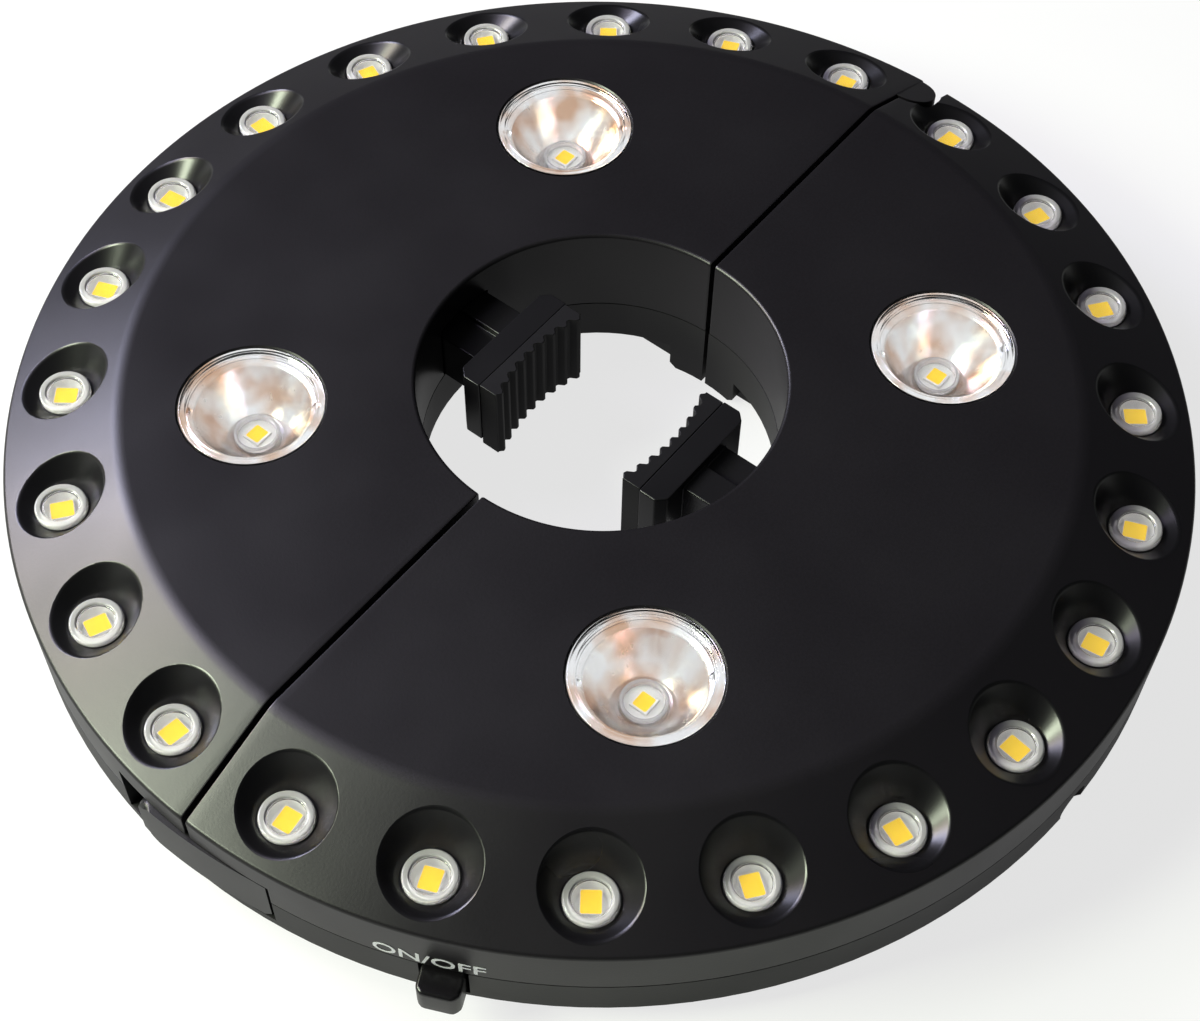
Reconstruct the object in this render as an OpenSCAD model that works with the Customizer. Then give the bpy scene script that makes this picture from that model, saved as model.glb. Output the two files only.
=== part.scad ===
// Clip-on light for the pole of a patio umbrella.
// Two half rings close round the pole: they turn on a pin at +X and a lever latches them at -X.
// The origin is on the pole's axis, on the surface that the back rests on. +Z points to the lamps.
// The keeper half is at +Y and carries the catch.
// The switch half is at -Y and carries the lever and the button.

/* [Housing] */
// Outside diameter of the closed ring
outer_d = 200; // [196:1:206]
// Diameter of the hole for the pole
bore_d = 62; // [60:0.5:63]
// Width of the sloping margin
margin_w = 20; // [19.5:0.25:21.5]
// How far the sloping margin falls from the flat face to the rim
rim_drop = 8; // [7:0.25:9]
// Depth from the lamp face to the line where the front and back shells meet
front_depth = 18.2; // [17.7:0.1:18.8]
// Depth from the lamp face to the flat back
body_depth = 27; // [26.5:0.1:29]
// How far the battery and hook bays stand out of the flat back
bay_height = 5.5; // [5:0.1:7]
// Wall thickness of the shells
wall = 2; // [1.6:0.1:2.3]
// Gap between the two halves along the seam
seam_gap = 0.8; // [0.5:0.1:1.2]
// Bevel round the edges of the shells
edge_bevel = 0.5; // [0.3:0.1:0.8]

/* [Small lamps] */
// Number of small lamps round the margin of each half
lamps_per_half = 12; // [10:1:12]
// Distance of the small lamps' middles from the rim
lamp_inset = 9.2; // [9:0.1:9.6]
// Diameter of the mouth of a lamp's recess, across the slope
recess_d = 16; // [14:0.25:16.5]
// Depth of the recess, square to the slope
recess_depth = 3; // [2.6:0.1:3.2]
// Narrowing of the recess for each millimetre of depth
recess_taper = 0.92; // [0.8:0.02:1]
// Depth of a recess floor below the lamp face
recess_floor = 8; // [7.8:0.1:8.4]
// Outside diameter of a small lens cap
lens_d = 8.6; // [7.8:0.1:9]
// Depth of the top of a small lens below the lamp face
lens_top = 7; // [6.6:0.1:7.4]
// Length of a lamp package, along the radius on the margin
chip_l = 4; // [3:0.1:4.4]
// Width of a lamp package
chip_w = 3.4; // [2.4:0.1:3.6]
// Depth of the lamps' light-giving faces below the lamp face
chip_depth = 8.5; // [8.3:0.1:8.9]

/* [Spot lamps] */
// Diameter of the circle of spot lamps
spot_ring_d = 116; // [112:0.5:118]
// Diameter of a spot lamp's clear cover
spot_cover_d = 24.2; // [22:0.2:25]
// Thickness of a spot lamp's clear cover
spot_cover_t = 1.6; // [1.2:0.1:2]
// Diameter of a reflector's mouth
reflector_mouth_d = 20; // [18:0.2:20.6]
// Diameter of a reflector's throat
reflector_throat_d = 7.2; // [6.8:0.1:7.6]

/* [Circuit board] */
// Thickness of the circuit boards
board_t = 1.2; // [1:0.1:1.4]
// Depth of a board's top below the lamp face
board_depth = 10.7; // [10.6:0.1:10.9]
// Width of the board's ring
board_w = 14; // [12:0.5:15]

/* [Hinge] */
// Distance of the hinge pin's middle from the rim
hinge_inset = 5.5; // [5.3:0.1:5.8]
// Radius of the hinge knuckles
knuckle_r = 4.7; // [4.2:0.1:4.9]
// Space round the knuckles
knuckle_gap = 1; // [0.9:0.05:1.2]
// Diameter of the hinge pin
hinge_pin_d = 3; // [2.4:0.1:3.4]
// Play of the pin in the turning knuckle, on the radius
pin_play = 0.05; // [0.02:0.01:0.09]
// Height of the keeper's lower knuckle
low_knuckle_h = 3.5; // [3:0.1:4]
// Gap between stacked knuckles
knuckle_step = 0.3; // [0.2:0.05:0.5]

/* [Latch] */
// Height of the latch lever
lever_h = 10.7; // [10:0.1:11]
// Depth of the lever's top below the lamp face
lever_top = 13.3; // [13.1:0.1:13.8]
// Thickness of the lever
lever_t = 3; // [2.6:0.1:3.2]
// Reach of the lever past the seam, over the keeper half
lever_reach = 10.7; // [10:0.1:11.5]
// Length of the lever on the switch half
lever_tail = 14.9; // [14.6:0.1:15.2]
// Angle by which the lever's outside stands off the rim
lever_lift = 3; // [2:0.2:5]
// Diameter of the lever's pin
lever_pin_d = 1.8; // [1.5:0.1:2]
// Gap round the lever
lever_gap = 0.3; // [0.2:0.05:0.4]
// Length of the finger recess past the lever's end
finger_recess = 5.2; // [5:0.1:7]

/* [Power button] */
// Angle of the button round the rim, from +X towards the switch half
button_angle = 155; // [152:0.5:157]
// Width of the button
button_w = 7; // [6:0.1:7.4]
// Height of the button
button_h = 5.9; // [5.4:0.1:6.1]
// How far the button stands out of the rim
button_out = 4.2; // [3.5:0.1:4.6]
// Travel of the button
button_travel = 1.5; // [1:0.1:1.7]
// Gap round the button
button_gap = 0.4; // [0.3:0.05:0.5]

/* [Pole clamps] */
// Distance between the tips of the two rubber jaws
jaw_opening = 25.2; // [24:0.2:27]
// Width of a rubber jaw
jaw_w = 23; // [21:0.25:23.5]
// Height of a rubber jaw
jaw_h = 16.3; // [15.6:0.1:16.6]
// Thickness of a rubber jaw at its ends
jaw_t = 4.5; // [4:0.1:5]
// Radius of the jaw's hollow
jaw_arc_r = 32; // [28:0.5:36]
// Number of teeth across a jaw
jaw_teeth = 9; // [7:1:11]
// Depth of the teeth
tooth_depth = 0.9; // [0.6:0.05:1.1]
// Width of the holder behind the rubber
holder_w = 23.5; // [20:0.25:23.75]
// Height of the holder
holder_h = 15; // [14.6:0.1:15.4]
// Thickness of the holder's plate
holder_t = 4.8; // [4.2:0.1:5.2]
// Depth of the top of the holder below the lamp face
holder_top = 5; // [4.8:0.1:5.4]
// Width of the stem
stem_w = 12; // [11:0.25:12.5]
// Step in the top of the stem
stem_step = 1.2; // [0.8:0.1:1.5]
// Travel of a clamp away from the pole
clamp_travel = 7; // [5:0.25:7.2]
// Outside diameter of a clamp spring
spring_d = 8.6; // [7.6:0.1:9]
// Wire diameter of a clamp spring
spring_wire = 0.9; // [0.7:0.05:1]
// Number of turns in a clamp spring
spring_turns = 8; // [6:1:9]
// Length of a clamp spring at rest
spring_len = 24; // [22:0.5:26]

/* [Batteries] */
// Diameter of a cell
cell_d = 14.2; // [13.8:0.1:14.4]
// Length of a cell
cell_l = 50.5; // [50:0.1:51]
// Space for the contacts in line with a cell
contact_room = 4.5; // [4.2:0.1:4.8]
// Thickness of a battery door
door_t = 1.4; // [1.2:0.1:1.6]
// Gap round a battery door
door_gap = 0.2; // [0.15:0.05:0.3]

/* [Hanging hooks] */
// Length of a hook from its pivot to the middle of its bend
hook_l = 32; // [28:0.5:33]
// Width of a hook's arm
hook_w = 5; // [4.4:0.1:5.4]
// Thickness of a hook
hook_t = 3.6; // [3:0.1:3.7]
// Inner radius of a hook's bend
hook_r = 3; // [2.6:0.1:3.4]

/* [Hidden] */
$fn = 96;

// Levels, from the resting surface up
face_z = body_depth + bay_height;
rim_z = face_z - rim_drop;
part_z = face_z - front_depth;
back_z = bay_height;
board_top = face_z - board_depth;
board_low = board_top - board_t;
chip_z = face_z - chip_depth;
floor_z = face_z - recess_floor;
cup_low = board_top + 0.6;

// Radii of the ring
R = outer_d / 2;
bore_r = bore_d / 2;
face_r = R - margin_w;
hinge_x = R - hinge_inset;
half_gap = seam_gap / 2;

// The sloping margin
slope_angle = atan2(rim_drop, R - face_r);
lamp_r = R - lamp_inset;
lamp_slope_z = face_z - (lamp_r - face_r) * tan(slope_angle);
lamp_pitch = 180 / lamps_per_half;
lens_r = lens_d / 2;
lens_fit = 0.1;
lens_flange = 0.6;
lens_wall = 0.6;
pocket_rim = 0.4;
recess_back = 0.5;
cup_bottom = 0.4;
cup_skin = 1;
cup_edge = 0.6;
pocket_wall = 1.6;
mouth_bevel = 0.35;

// Spot lamps
spot_r = spot_ring_d / 2;
spot_angles = [45, 135];
cover_fit = 0.15;
flange_t = 0.8;
boss_wall = 1.8;
boss_low = face_z - 6.6;
reflector_wall = 0.8;
reflector_low = chip_z - 1;
mouth_z = face_z - spot_cover_t;

// Hinge levels
knuckle_clear_r = knuckle_r + knuckle_gap;
hinge_wall = 1.8;
low_top = back_z + low_knuckle_h;
mid_low = low_top + knuckle_step;
mid_top = part_z - knuckle_step;
notch_y = knuckle_clear_r - 0.6;
pin_low = back_z + 0.5;
pin_top = rim_z - 0.7;
pin_r = hinge_pin_d / 2;

// Latch
lever_z1 = face_z - lever_top;
lever_z0 = lever_z1 - lever_h;
lever_pivot = [-(R - 4.8), -(lever_tail - 3.1)];
lever_in_r = R - lever_t;
lever_sweep_r = 5.1;
lug_r = 2.6;
lever_pin_r = lever_pin_d / 2;
latch_block_in = 11.5;
block_top = board_low - 0.4;
tooth_y = [4.6, 7];
tooth_in = 4.4;
tooth_nose = 0.8;
tooth_h = 6;
slot_play = 0.4;

// Button
button_z1 = part_z - button_gap - 0.3;
button_z0 = button_z1 - button_h;
button_flange_w = button_w + 3.4;
button_flange_t = 2.4;
button_in_r = R - wall - 0.35 - button_flange_t;
plunger_r = 1.7;
plunger_l = 3.4;
plunger_in = 0.6;
tact_side = 6;
tact_t = 3.5;
tact_gap = 0.1;
tact_x = button_in_r - plunger_l - tact_t;

// Clamps
jaw_tip = jaw_opening / 2;
jaw_back = jaw_tip + jaw_t;
holder_back = jaw_back + holder_t;
jaw_top = face_z - holder_top;
stem_z1 = jaw_top - 1.4;
stem_z0 = part_z + 0.3;
stem_mid_z = (stem_z0 + stem_z1) / 2;
stem_fit = 0.3;
stop_y = bore_r + wall + 0.3;
stop_t = 2.8;
stop_w = stem_w + 5;
stem_end = stop_y + stop_t + 2;
channel_w = stop_w + 0.8;
channel_wall = 1.6;
spring_y1 = stem_end + spring_len;
peg_r = spring_d / 2 - spring_wire - 0.3;
peg_l = 4.5;
channel_top = stem_z1 + 0.2;

// Batteries
bay_wall = 1.7;
bay_y1 = 37.5;
cavity_x0 = bore_r + 3.1;
cavity_l = cell_l + contact_room;
cavity_x1 = cavity_x0 + cavity_l;
bay_x0 = cavity_x0 - bay_wall;
bay_x1 = cavity_x1 + bay_wall;
cavity_y0 = 5.2;
cavity_w = 2 * cell_d + 1.8;
cavity_y1 = cavity_y0 + cavity_w;
door_seat = 1;
door_recess = door_t + 0.4;
box_wall = 1.5;
roof_wall = 1.2;
roof_gap = 0.3;
cell_play = 0.5;
cell_z = door_recess + cell_d / 2 + 0.4;
cell_x0 = cavity_x0 + 3.4;
cell_ys = [cavity_y0 + cell_d / 2 + 0.3, cavity_y1 - cell_d / 2 - 0.3];

// Hooks
hook_bay_x1 = -88;
hook_pivot_x = -40;
hook_y = 12;
hook_z = hook_t / 2 + 0.5;
hook_out_r = hook_r + hook_w;
hook_pocket_gap = 1.2;
hook_pocket_depth = hook_t + 1;
hook_pin_r = 1.1;
hook_pin_l = 1.2;
hook_ear_t = 2.2;
hook_ear_gap = 0.4;
hook_wall = 2;
hook_pin_y0 = hook_y - hook_w / 2 - hook_pocket_gap - hook_pin_l;
hook_pin_y1 = hook_y + hook_w / 2 + hook_ear_gap + hook_pin_l;

// Screws
screw_spots = [[60, 41], [28, 70], [-28, 70], [-52, 4.9]];
post_r = 3.2;
screw_r = 1.2;
screw_head_r = 2.3;
screw_head_h = 1.6;
screw_seat = back_z + 2.6;
screw_l = 12;
pilot_top = screw_seat + screw_l + 0.5;
screw_play = 0.15;

// Feet beside the seam and the notch in the rim
foot_w = 7.2;
foot_edge = 1.2;
notch_angle = 93;
notch_r = 3.2;
notch_mid_z = back_z + 2.5;
notch_depth = 1.2;

far = 2 * outer_d;
clear = 10;
eps = 0.01;

// ---------- helpers ----------

// Everything on one side of the seam: +1 is the keeper half, -1 the switch half.
module half_space(side, gap = half_gap) {
    translate([-far / 2, side > 0 ? gap : -gap - far, -far / 2]) cube(far);
}

// A shape drawn for the keeper half, mirrored for the switch half.
module on_side(side) {
    if (side > 0) children();
    else mirror([0, 1, 0]) children();
}

// A flat plate with round corners, its corner at the origin.
module round_plate(w, h, r, t) {
    linear_extrude(t) {
        translate([r, 0]) square([w - 2 * r, h]);
        translate([0, r]) square([w, h - 2 * r]);
        for (x = [r, w - r]) for (y = [r, h - r]) translate([x, y]) circle(r, $fn = 32);
    }
}

// The places of the small lamps on one half.
module at_lamps() {
    for (i = [0 : lamps_per_half - 1]) rotate([0, 0, (i + 0.5) * lamp_pitch])
        translate([lamp_r, 0, 0]) children();
}

// The places of the spot lamps on one half.
module at_spots() {
    for (a = spot_angles) rotate([0, 0, a]) translate([spot_r, 0, 0]) children();
}

// The places of the screws on one half.
module at_screws() {
    for (p = screw_spots) translate([p[0], p[1], 0]) children();
}

module at_hinge() {
    translate([hinge_x, 0, 0]) children();
}

module at_lever_pivot() {
    translate([lever_pivot[0], lever_pivot[1], 0]) children();
}

module at_button() {
    rotate([0, 0, -button_angle]) children();
}

// ---------- shells ----------

// Solid inside the outer surface of the front shell.
module front_envelope() {
    rotate_extrude() polygon([
        [bore_r, part_z], [bore_r, face_z - edge_bevel], [bore_r + edge_bevel, face_z], [face_r, face_z],
        [R - edge_bevel, rim_z + edge_bevel * tan(slope_angle)], [R, rim_z - edge_bevel], [R, part_z]]);
}

// The thin skin of the front shell.
module front_skin() {
    inner_z = face_z - wall;
    slope_z = face_z - (R - wall - face_r) * tan(slope_angle) - wall / cos(slope_angle);
    rotate_extrude() polygon([
        [bore_r, part_z], [bore_r, face_z], [face_r, face_z], [R, rim_z], [R, part_z],
        [R - wall, part_z], [R - wall, slope_z], [face_r - wall * tan(slope_angle / 2), inner_z],
        [bore_r + wall, inner_z], [bore_r + wall, part_z]]);
}

// The walls that close a half along the seam.
module seam_walls(z0, z1) {
    for (x = [-R, bore_r]) translate([x, half_gap, z0]) cube([R - bore_r, wall, z1 - z0]);
}

// A block between two radii near the latch, which backs the lever's pocket.
module latch_block(z0, z1) {
    intersection() {
        difference() {
            translate([0, 0, z0]) cylinder(r = R, h = z1 - z0);
            translate([0, 0, z0 - 1]) cylinder(r = R - latch_block_in, h = z1 - z0 + 2);
        }
        translate([-R - 1, half_gap, z0]) cube([R, lever_reach + finger_recess + 3, z1 - z0]);
    }
}

// The middle of a recess's mouth on the slope, with Z square to the slope.
module at_mouth() {
    translate([-recess_back, 0, lamp_slope_z + recess_back * tan(slope_angle)]) rotate([0, slope_angle, 0])
        children();
}

// The cup behind one small lamp's recess, in the frame of at_lamps. Its top lies inside the skin.
module lamp_cup() {
    depth = recess_depth + cup_bottom;
    at_mouth() translate([0, 0, -depth]) cylinder(r = recess_d / 2 - cup_edge, h = depth - cup_skin);
    translate([0, 0, cup_low]) cylinder(r = lens_r + pocket_wall, h = lamp_slope_z - cup_low);
}

// The recess of one small lamp, in the frame of at_lamps.
module lamp_recess() {
    mouth_r = recess_d / 2;
    floor_r = mouth_r - recess_taper * recess_depth;
    clear_h = 4;
    at_mouth() rotate_extrude() polygon([
        [0, -recess_depth], [floor_r, -recess_depth], [mouth_r, -mouth_bevel],
        [mouth_r + clear_h, clear_h - mouth_bevel], [0, clear_h - mouth_bevel]]);
    translate([0, 0, floor_z]) cylinder(r = lens_r + pocket_rim, h = lamp_slope_z - floor_z);
    translate([0, 0, board_top]) cylinder(r = lens_r + lens_fit, h = floor_z);
}

// Space round the hinge that one half leaves for the other half's knuckle.
module knuckle_room(z0, z1) {
    at_hinge() {
        translate([0, 0, z0]) cylinder(r = knuckle_clear_r, h = z1 - z0);
        translate([0, -notch_y, z0]) cube([R, 2 * notch_y, z1 - z0]);
    }
}

// The pocket of the latch lever, for both halves.
module lever_pocket() {
    z0 = lever_z0 - lever_gap;
    h = lever_h + 2 * lever_gap;
    intersection() {
        difference() {
            translate([0, 0, z0]) cylinder(r = R + 5, h = h);
            translate([0, 0, z0 - 1]) cylinder(r = lever_in_r - lever_gap, h = h + 2);
        }
        translate([-R - clear, lever_pivot[1], z0])
            cube([R, lever_reach + finger_recess - lever_pivot[1], h]);
    }
    at_lever_pivot() translate([0, 0, z0]) cylinder(r = lever_sweep_r, h = h);
}

// The slot for the lever's tooth, open to the seam, for the keeper half.
module tooth_slot() {
    x1 = -(lever_in_r - tooth_in - slot_play);
    translate([-R - 5, 0, lever_z0 + (lever_h - tooth_h) / 2 - slot_play])
        cube([R + 5 + x1, tooth_y[1] + tooth_nose + slot_play, tooth_h + 2 * slot_play]);
}

// The opening in the bore for the clamp's stem.
module stem_slot() {
    translate([-stem_w / 2 - stem_fit, 0, part_z - 1])
        cube([stem_w + 2 * stem_fit, bore_r + wall + 1, stem_z1 + stem_fit - part_z + 1]);
}

module spot_hole() {
    translate([0, 0, mouth_z - flange_t]) cylinder(r = spot_cover_d / 2 + cover_fit, h = far);
    translate([0, 0, boss_low - 1]) cylinder(r = reflector_mouth_d / 2 + reflector_wall + 0.1, h = far);
}

// The keeper's upper knuckle, as far as it stands out of the half.
module front_knuckle() {
    intersection() {
        at_hinge() translate([0, 0, part_z]) cylinder(r = knuckle_r, h = face_z - part_z);
        half_space(-1, -half_gap - wall / 2);
    }
}

// Everything that the front shell of the keeper half is made of, before its edges are trimmed.
module front_solids() {
    intersection() {
        front_skin();
        half_space(1);
    }
    at_lamps() lamp_cup();
    at_spots() translate([0, 0, boss_low])
        cylinder(r = spot_cover_d / 2 + boss_wall, h = face_z - boss_low);
    seam_walls(part_z, face_z);
    at_screws() translate([0, 0, part_z]) cylinder(r = post_r, h = face_z - part_z);
    latch_block(part_z, block_top);
    intersection() {
        at_hinge() translate([0, 0, part_z])
            cylinder(r = knuckle_clear_r + hinge_wall, h = face_z - part_z);
        half_space(1);
    }
}

module front_shell(side) {
    difference() {
        intersection() {
            front_envelope();
            union() {
                intersection() {
                    on_side(side) front_solids();
                    half_space(side);
                }
                if (side > 0) front_knuckle();
            }
        }
        on_side(side) {
            at_lamps() lamp_recess();
            at_spots() spot_hole();
            stem_slot();
            at_screws() translate([0, 0, part_z - 1]) cylinder(r = screw_r, h = pilot_top - part_z + 1);
        }
        lever_pocket();
        if (side > 0) {
            tooth_slot();
            at_hinge() translate([0, 0, part_z - 1]) cylinder(r = pin_r, h = pin_top - part_z + 1);
        } else {
            knuckle_room(part_z - 1, far);
            at_lever_pivot() cylinder(r = lever_pin_r, h = block_top - 0.2);
        }
    }
}

// Solid inside the outer surface of the back shell, without its bays.
module back_envelope() {
    rotate_extrude() polygon([
        [bore_r, back_z + edge_bevel], [bore_r + edge_bevel, back_z], [R - 1, back_z], [R, back_z + 1],
        [R, part_z], [bore_r, part_z]]);
}

module back_skin() {
    floor_top = back_z + wall;
    rotate_extrude() polygon([
        [bore_r, back_z], [R, back_z], [R, part_z], [R - wall, part_z], [R - wall, floor_top],
        [bore_r + wall, floor_top], [bore_r + wall, part_z], [bore_r, part_z]]);
}

// The two raised bays of a half, as solid blocks below the flat back.
module bays() {
    bay_corner = 2.5;
    difference() {
        union() {
            translate([bay_x0, -bay_corner, 0])
                round_plate(bay_x1 - bay_x0, bay_y1 + bay_corner, bay_corner, back_z + wall);
            translate([hook_bay_x1, -bay_corner, 0])
                round_plate(-bay_x0 - hook_bay_x1, bay_y1 + bay_corner, bay_corner, back_z + wall);
        }
        translate([0, 0, -1]) cylinder(r = bore_r, h = far);
        at_hinge() translate([0, 0, -1]) cylinder(r = knuckle_clear_r, h = back_z + 1);
    }
}

// A foot between the bore and each bay, beside the seam, its lower edge bevelled.
module feet() {
    foot_l = bay_x0 + wall - bore_r + 1;
    difference() {
        for (x = [bore_r - 1, -bore_r + 1 - foot_l]) translate([x, 0, 0]) rotate([90, 0, 90])
            linear_extrude(foot_l) polygon([
                [0, 0], [foot_w - foot_edge, 0], [foot_w, foot_edge], [foot_w, back_z + 1], [0, back_z + 1]]);
        translate([0, 0, -1]) cylinder(r = bore_r, h = far);
    }
}

// The round notch in the rim, in the middle of a half.
module rim_notch() {
    rotate([0, 0, notch_angle]) translate([R - notch_depth, 0, notch_mid_z]) rotate([0, 90, 0])
        cylinder(r = notch_r, h = clear);
}

// The rounded tunnels of the cells, grown by a margin for their walls.
module cell_tunnels(margin) {
    for (y = cell_ys) translate([cavity_x0 - margin, y, cell_z]) rotate([0, 90, 0])
        cylinder(r = cell_d / 2 + cell_play + margin, h = cavity_l + 2 * margin);
}

// The box that holds the cells. Its roof rises into the front shell and is clear of it.
module battery_box() {
    translate([cavity_x0 - box_wall, half_gap, back_z])
        cube([cavity_l + 2 * box_wall, cavity_y1 + box_wall - half_gap, part_z - back_z]);
    difference() {
        cell_tunnels(roof_wall);
        cylinder(r = bore_r + wall + roof_gap, h = far);
        at_hinge() cylinder(r = knuckle_clear_r + hinge_wall + roof_gap, h = far);
    }
}

module battery_cavity() {
    ridge_z = 3;
    translate([cavity_x0, cavity_y0, -1]) cube([cavity_l, cavity_w, cell_z + ridge_z + 1]);
    cell_tunnels(0);
    translate([cavity_x0 - door_seat, cavity_y0 - door_seat, -1])
        cube([cavity_l + 2 * door_seat, cavity_w + 2 * door_seat, door_recess + 1]);
}

// The inside of the hook bay, hollowed from above but for the walls of the hook's pocket.
module hook_bay_hollow() {
    difference() {
        translate([hook_bay_x1 + wall, half_gap + wall, wall])
            cube([-bay_x0 - hook_bay_x1 - 2 * wall, bay_y1 - half_gap - 2 * wall, back_z + wall]);
        hook_pocket(hook_wall, hook_pocket_depth + 1.4);
        at_screws() cylinder(r = screw_head_r + 2, h = far);
    }
}

// The pocket that a folded hook lies in, grown by a margin for its walls.
module hook_pocket(margin, depth) {
    x0 = hook_pivot_x - hook_l - hook_out_r - hook_pocket_gap - margin;
    x1 = hook_pivot_x + 4 + margin;
    y0 = hook_y - hook_w / 2 - hook_pocket_gap - margin;
    y1 = hook_y - hook_w / 2 + 2 * hook_out_r + hook_pocket_gap + margin;
    translate([x0, y0, -1]) round_plate(x1 - x0, y1 - y0, 2.5, depth + 1);
}

// The ear in the hook's pocket that holds the inner end of its pivot.
module hook_ear() {
    translate([hook_pivot_x - 3, hook_y + hook_w / 2 + hook_ear_gap, 0.6])
        cube([6, hook_ear_t, hook_pocket_depth]);
}

module hook_pivot_hole() {
    end_play = 0.3;
    translate([hook_pivot_x, hook_pin_y0 - end_play, hook_z]) rotate([-90, 0, 0])
        cylinder(r = hook_pin_r + pin_play, h = hook_pin_y1 - hook_pin_y0 + 2 * end_play);
}

// The channel that guides a clamp's stem and holds its spring.
module clamp_channel() {
    y0 = bore_r + wall / 2;
    y1 = spring_y1 + channel_wall;
    w = channel_w + 2 * channel_wall;
    difference() {
        translate([-w / 2, y0, back_z]) cube([w, y1 - y0, channel_top - back_z]);
        translate([-channel_w / 2, y0 - 1, stem_z0 - 0.1]) cube([channel_w, spring_y1 - y0 + 1, far]);
        translate([-far / 2, 0, part_z]) cube([far, stop_y - 0.1, far]);
    }
    translate([0, spring_y1 - peg_l, stem_mid_z]) rotate([-90, 0, 0]) cylinder(r = peg_r, h = peg_l + 0.5);
}

// The wall that the press switch is fixed to.
module tact_rib() {
    rib_w = tact_side + 2 * wall;
    at_button() translate([tact_x - wall, -rib_w / 2, back_z]) cube([wall, rib_w, part_z - back_z + 1]);
}

module button_opening() {
    at_button() translate([R - wall - 2, -button_w / 2 - button_gap, button_z0 - button_gap])
        cube([clear, button_w + 2 * button_gap, part_z - button_z0 + button_gap + 1]);
}

module back_shell(side) {
    difference() {
        union() {
            on_side(side) intersection() {
                union() {
                    intersection() {
                        back_envelope();
                        union() {
                            back_skin();
                            seam_walls(back_z, part_z);
                            latch_block(back_z, part_z);
                            at_hinge() translate([0, 0, back_z])
                                cylinder(r = knuckle_clear_r + hinge_wall, h = part_z - back_z);
                            at_screws() translate([0, 0, back_z])
                                cylinder(r = screw_head_r + 1.4, h = part_z - back_z);
                        }
                    }
                    bays();
                    feet();
                    battery_box();
                    clamp_channel();
                    for (a = [34, 68, 112, 142]) rotate([0, 0, a]) translate([lamp_r - 1, 0, back_z])
                        cylinder(r = 2, h = board_low - back_z);
                }
                half_space(1);
            }
            if (side < 0) tact_rib();
            knuckle_z0 = side > 0 ? back_z : mid_low;
            knuckle_z1 = side > 0 ? low_top : mid_top;
            at_hinge() translate([0, 0, knuckle_z0]) cylinder(r = knuckle_r, h = knuckle_z1 - knuckle_z0);
        }
        on_side(side) {
            battery_cavity();
            hook_bay_hollow();
            difference() {
                hook_pocket(0, hook_pocket_depth);
                hook_ear();
            }
            hook_pivot_hole();
            rim_notch();
            at_screws() {
                translate([0, 0, -1]) cylinder(r = screw_head_r + 0.3, h = screw_seat + 1);
                cylinder(r = screw_r + screw_play, h = far);
            }
        }
        lever_pocket();
        if (side > 0) {
            tooth_slot();
            difference() {
                knuckle_room(low_top, part_z + 1);
                half_space(-1, 0);
            }
            at_hinge() cylinder(r = pin_r, h = far);
        } else {
            difference() {
                union() {
                    knuckle_room(-1, mid_low);
                    knuckle_room(mid_top, part_z + 1);
                }
                half_space(1, 0);
            }
            at_hinge() cylinder(r = pin_r + pin_play, h = far);
            at_lever_pivot() translate([0, 0, back_z + 0.5]) cylinder(r = lever_pin_r, h = far);
            button_opening();
        }
    }
}

// ---------- lamps ----------

// One board carries the small and the spot lamps of a half.
module lamp_board(side) {
    out_r = lamp_r + board_w / 2 - 1;
    arm_w = 10;
    spot_board_r = 9;
    color("darkgreen") on_side(side) difference() {
        intersection() {
            translate([0, 0, board_low]) union() {
                difference() {
                    cylinder(r = out_r, h = board_t);
                    translate([0, 0, -1]) cylinder(r = out_r - board_w, h = board_t + 2);
                }
                at_spots() cylinder(r = spot_board_r, h = board_t);
                for (a = spot_angles) rotate([0, 0, a]) translate([spot_r, -arm_w / 2, 0])
                    cube([out_r - board_w / 2 - spot_r, arm_w, board_t]);
            }
            half_space(1, half_gap + wall + 0.3);
        }
        at_hinge() translate([0, 0, board_low - 1])
            cylinder(r = knuckle_clear_r + hinge_wall + 0.3, h = board_t + 2);
    }
}

module small_leds(side) {
    color("gold") on_side(side) at_lamps() {
        translate([0, 0, board_top]) cylinder(r = 3.2, h = 0.8);
        translate([-chip_l / 2, -chip_w / 2, board_top + 0.8])
            cube([chip_l, chip_w, chip_z - board_top - 0.8]);
    }
}

// A clear cap over each small lamp, with a flange under the shell.
module small_lenses(side) {
    top = face_z - lens_top;
    color("white", 0.4) on_side(side) at_lamps() rotate_extrude() polygon([
        [0, top - lens_wall], [lens_r - 0.7, top - lens_wall], [lens_r - 0.7, board_top],
        [lens_r + lens_flange, board_top], [lens_r + lens_flange, cup_low - 0.1], [lens_r, cup_low - 0.1],
        [lens_r, top - 0.3], [lens_r - 0.3, top], [lens_r - 0.9, top], [lens_r - 1.2, top - 0.25],
        [0, top - 0.25]]);
}

// The packages of the spot lamps stand square to the seam.
module spot_leds(side) {
    base_r = reflector_throat_d / 2 - 0.2;
    chip_t = 0.6;
    color("gold") on_side(side) for (a = spot_angles) translate([spot_r * cos(a), spot_r * sin(a), 0]) {
        translate([0, 0, board_top]) cylinder(r = base_r, h = chip_z - board_top - chip_t);
        translate([-chip_l / 2, -chip_w / 2, chip_z - chip_t]) cube([chip_l, chip_w, chip_t]);
    }
}

// Radius of the reflector's bowl at a share of its height.
function bowl_r(s) = sqrt(pow(reflector_throat_d / 2, 2) * (1 - s) + pow(reflector_mouth_d / 2, 2) * s);

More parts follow.
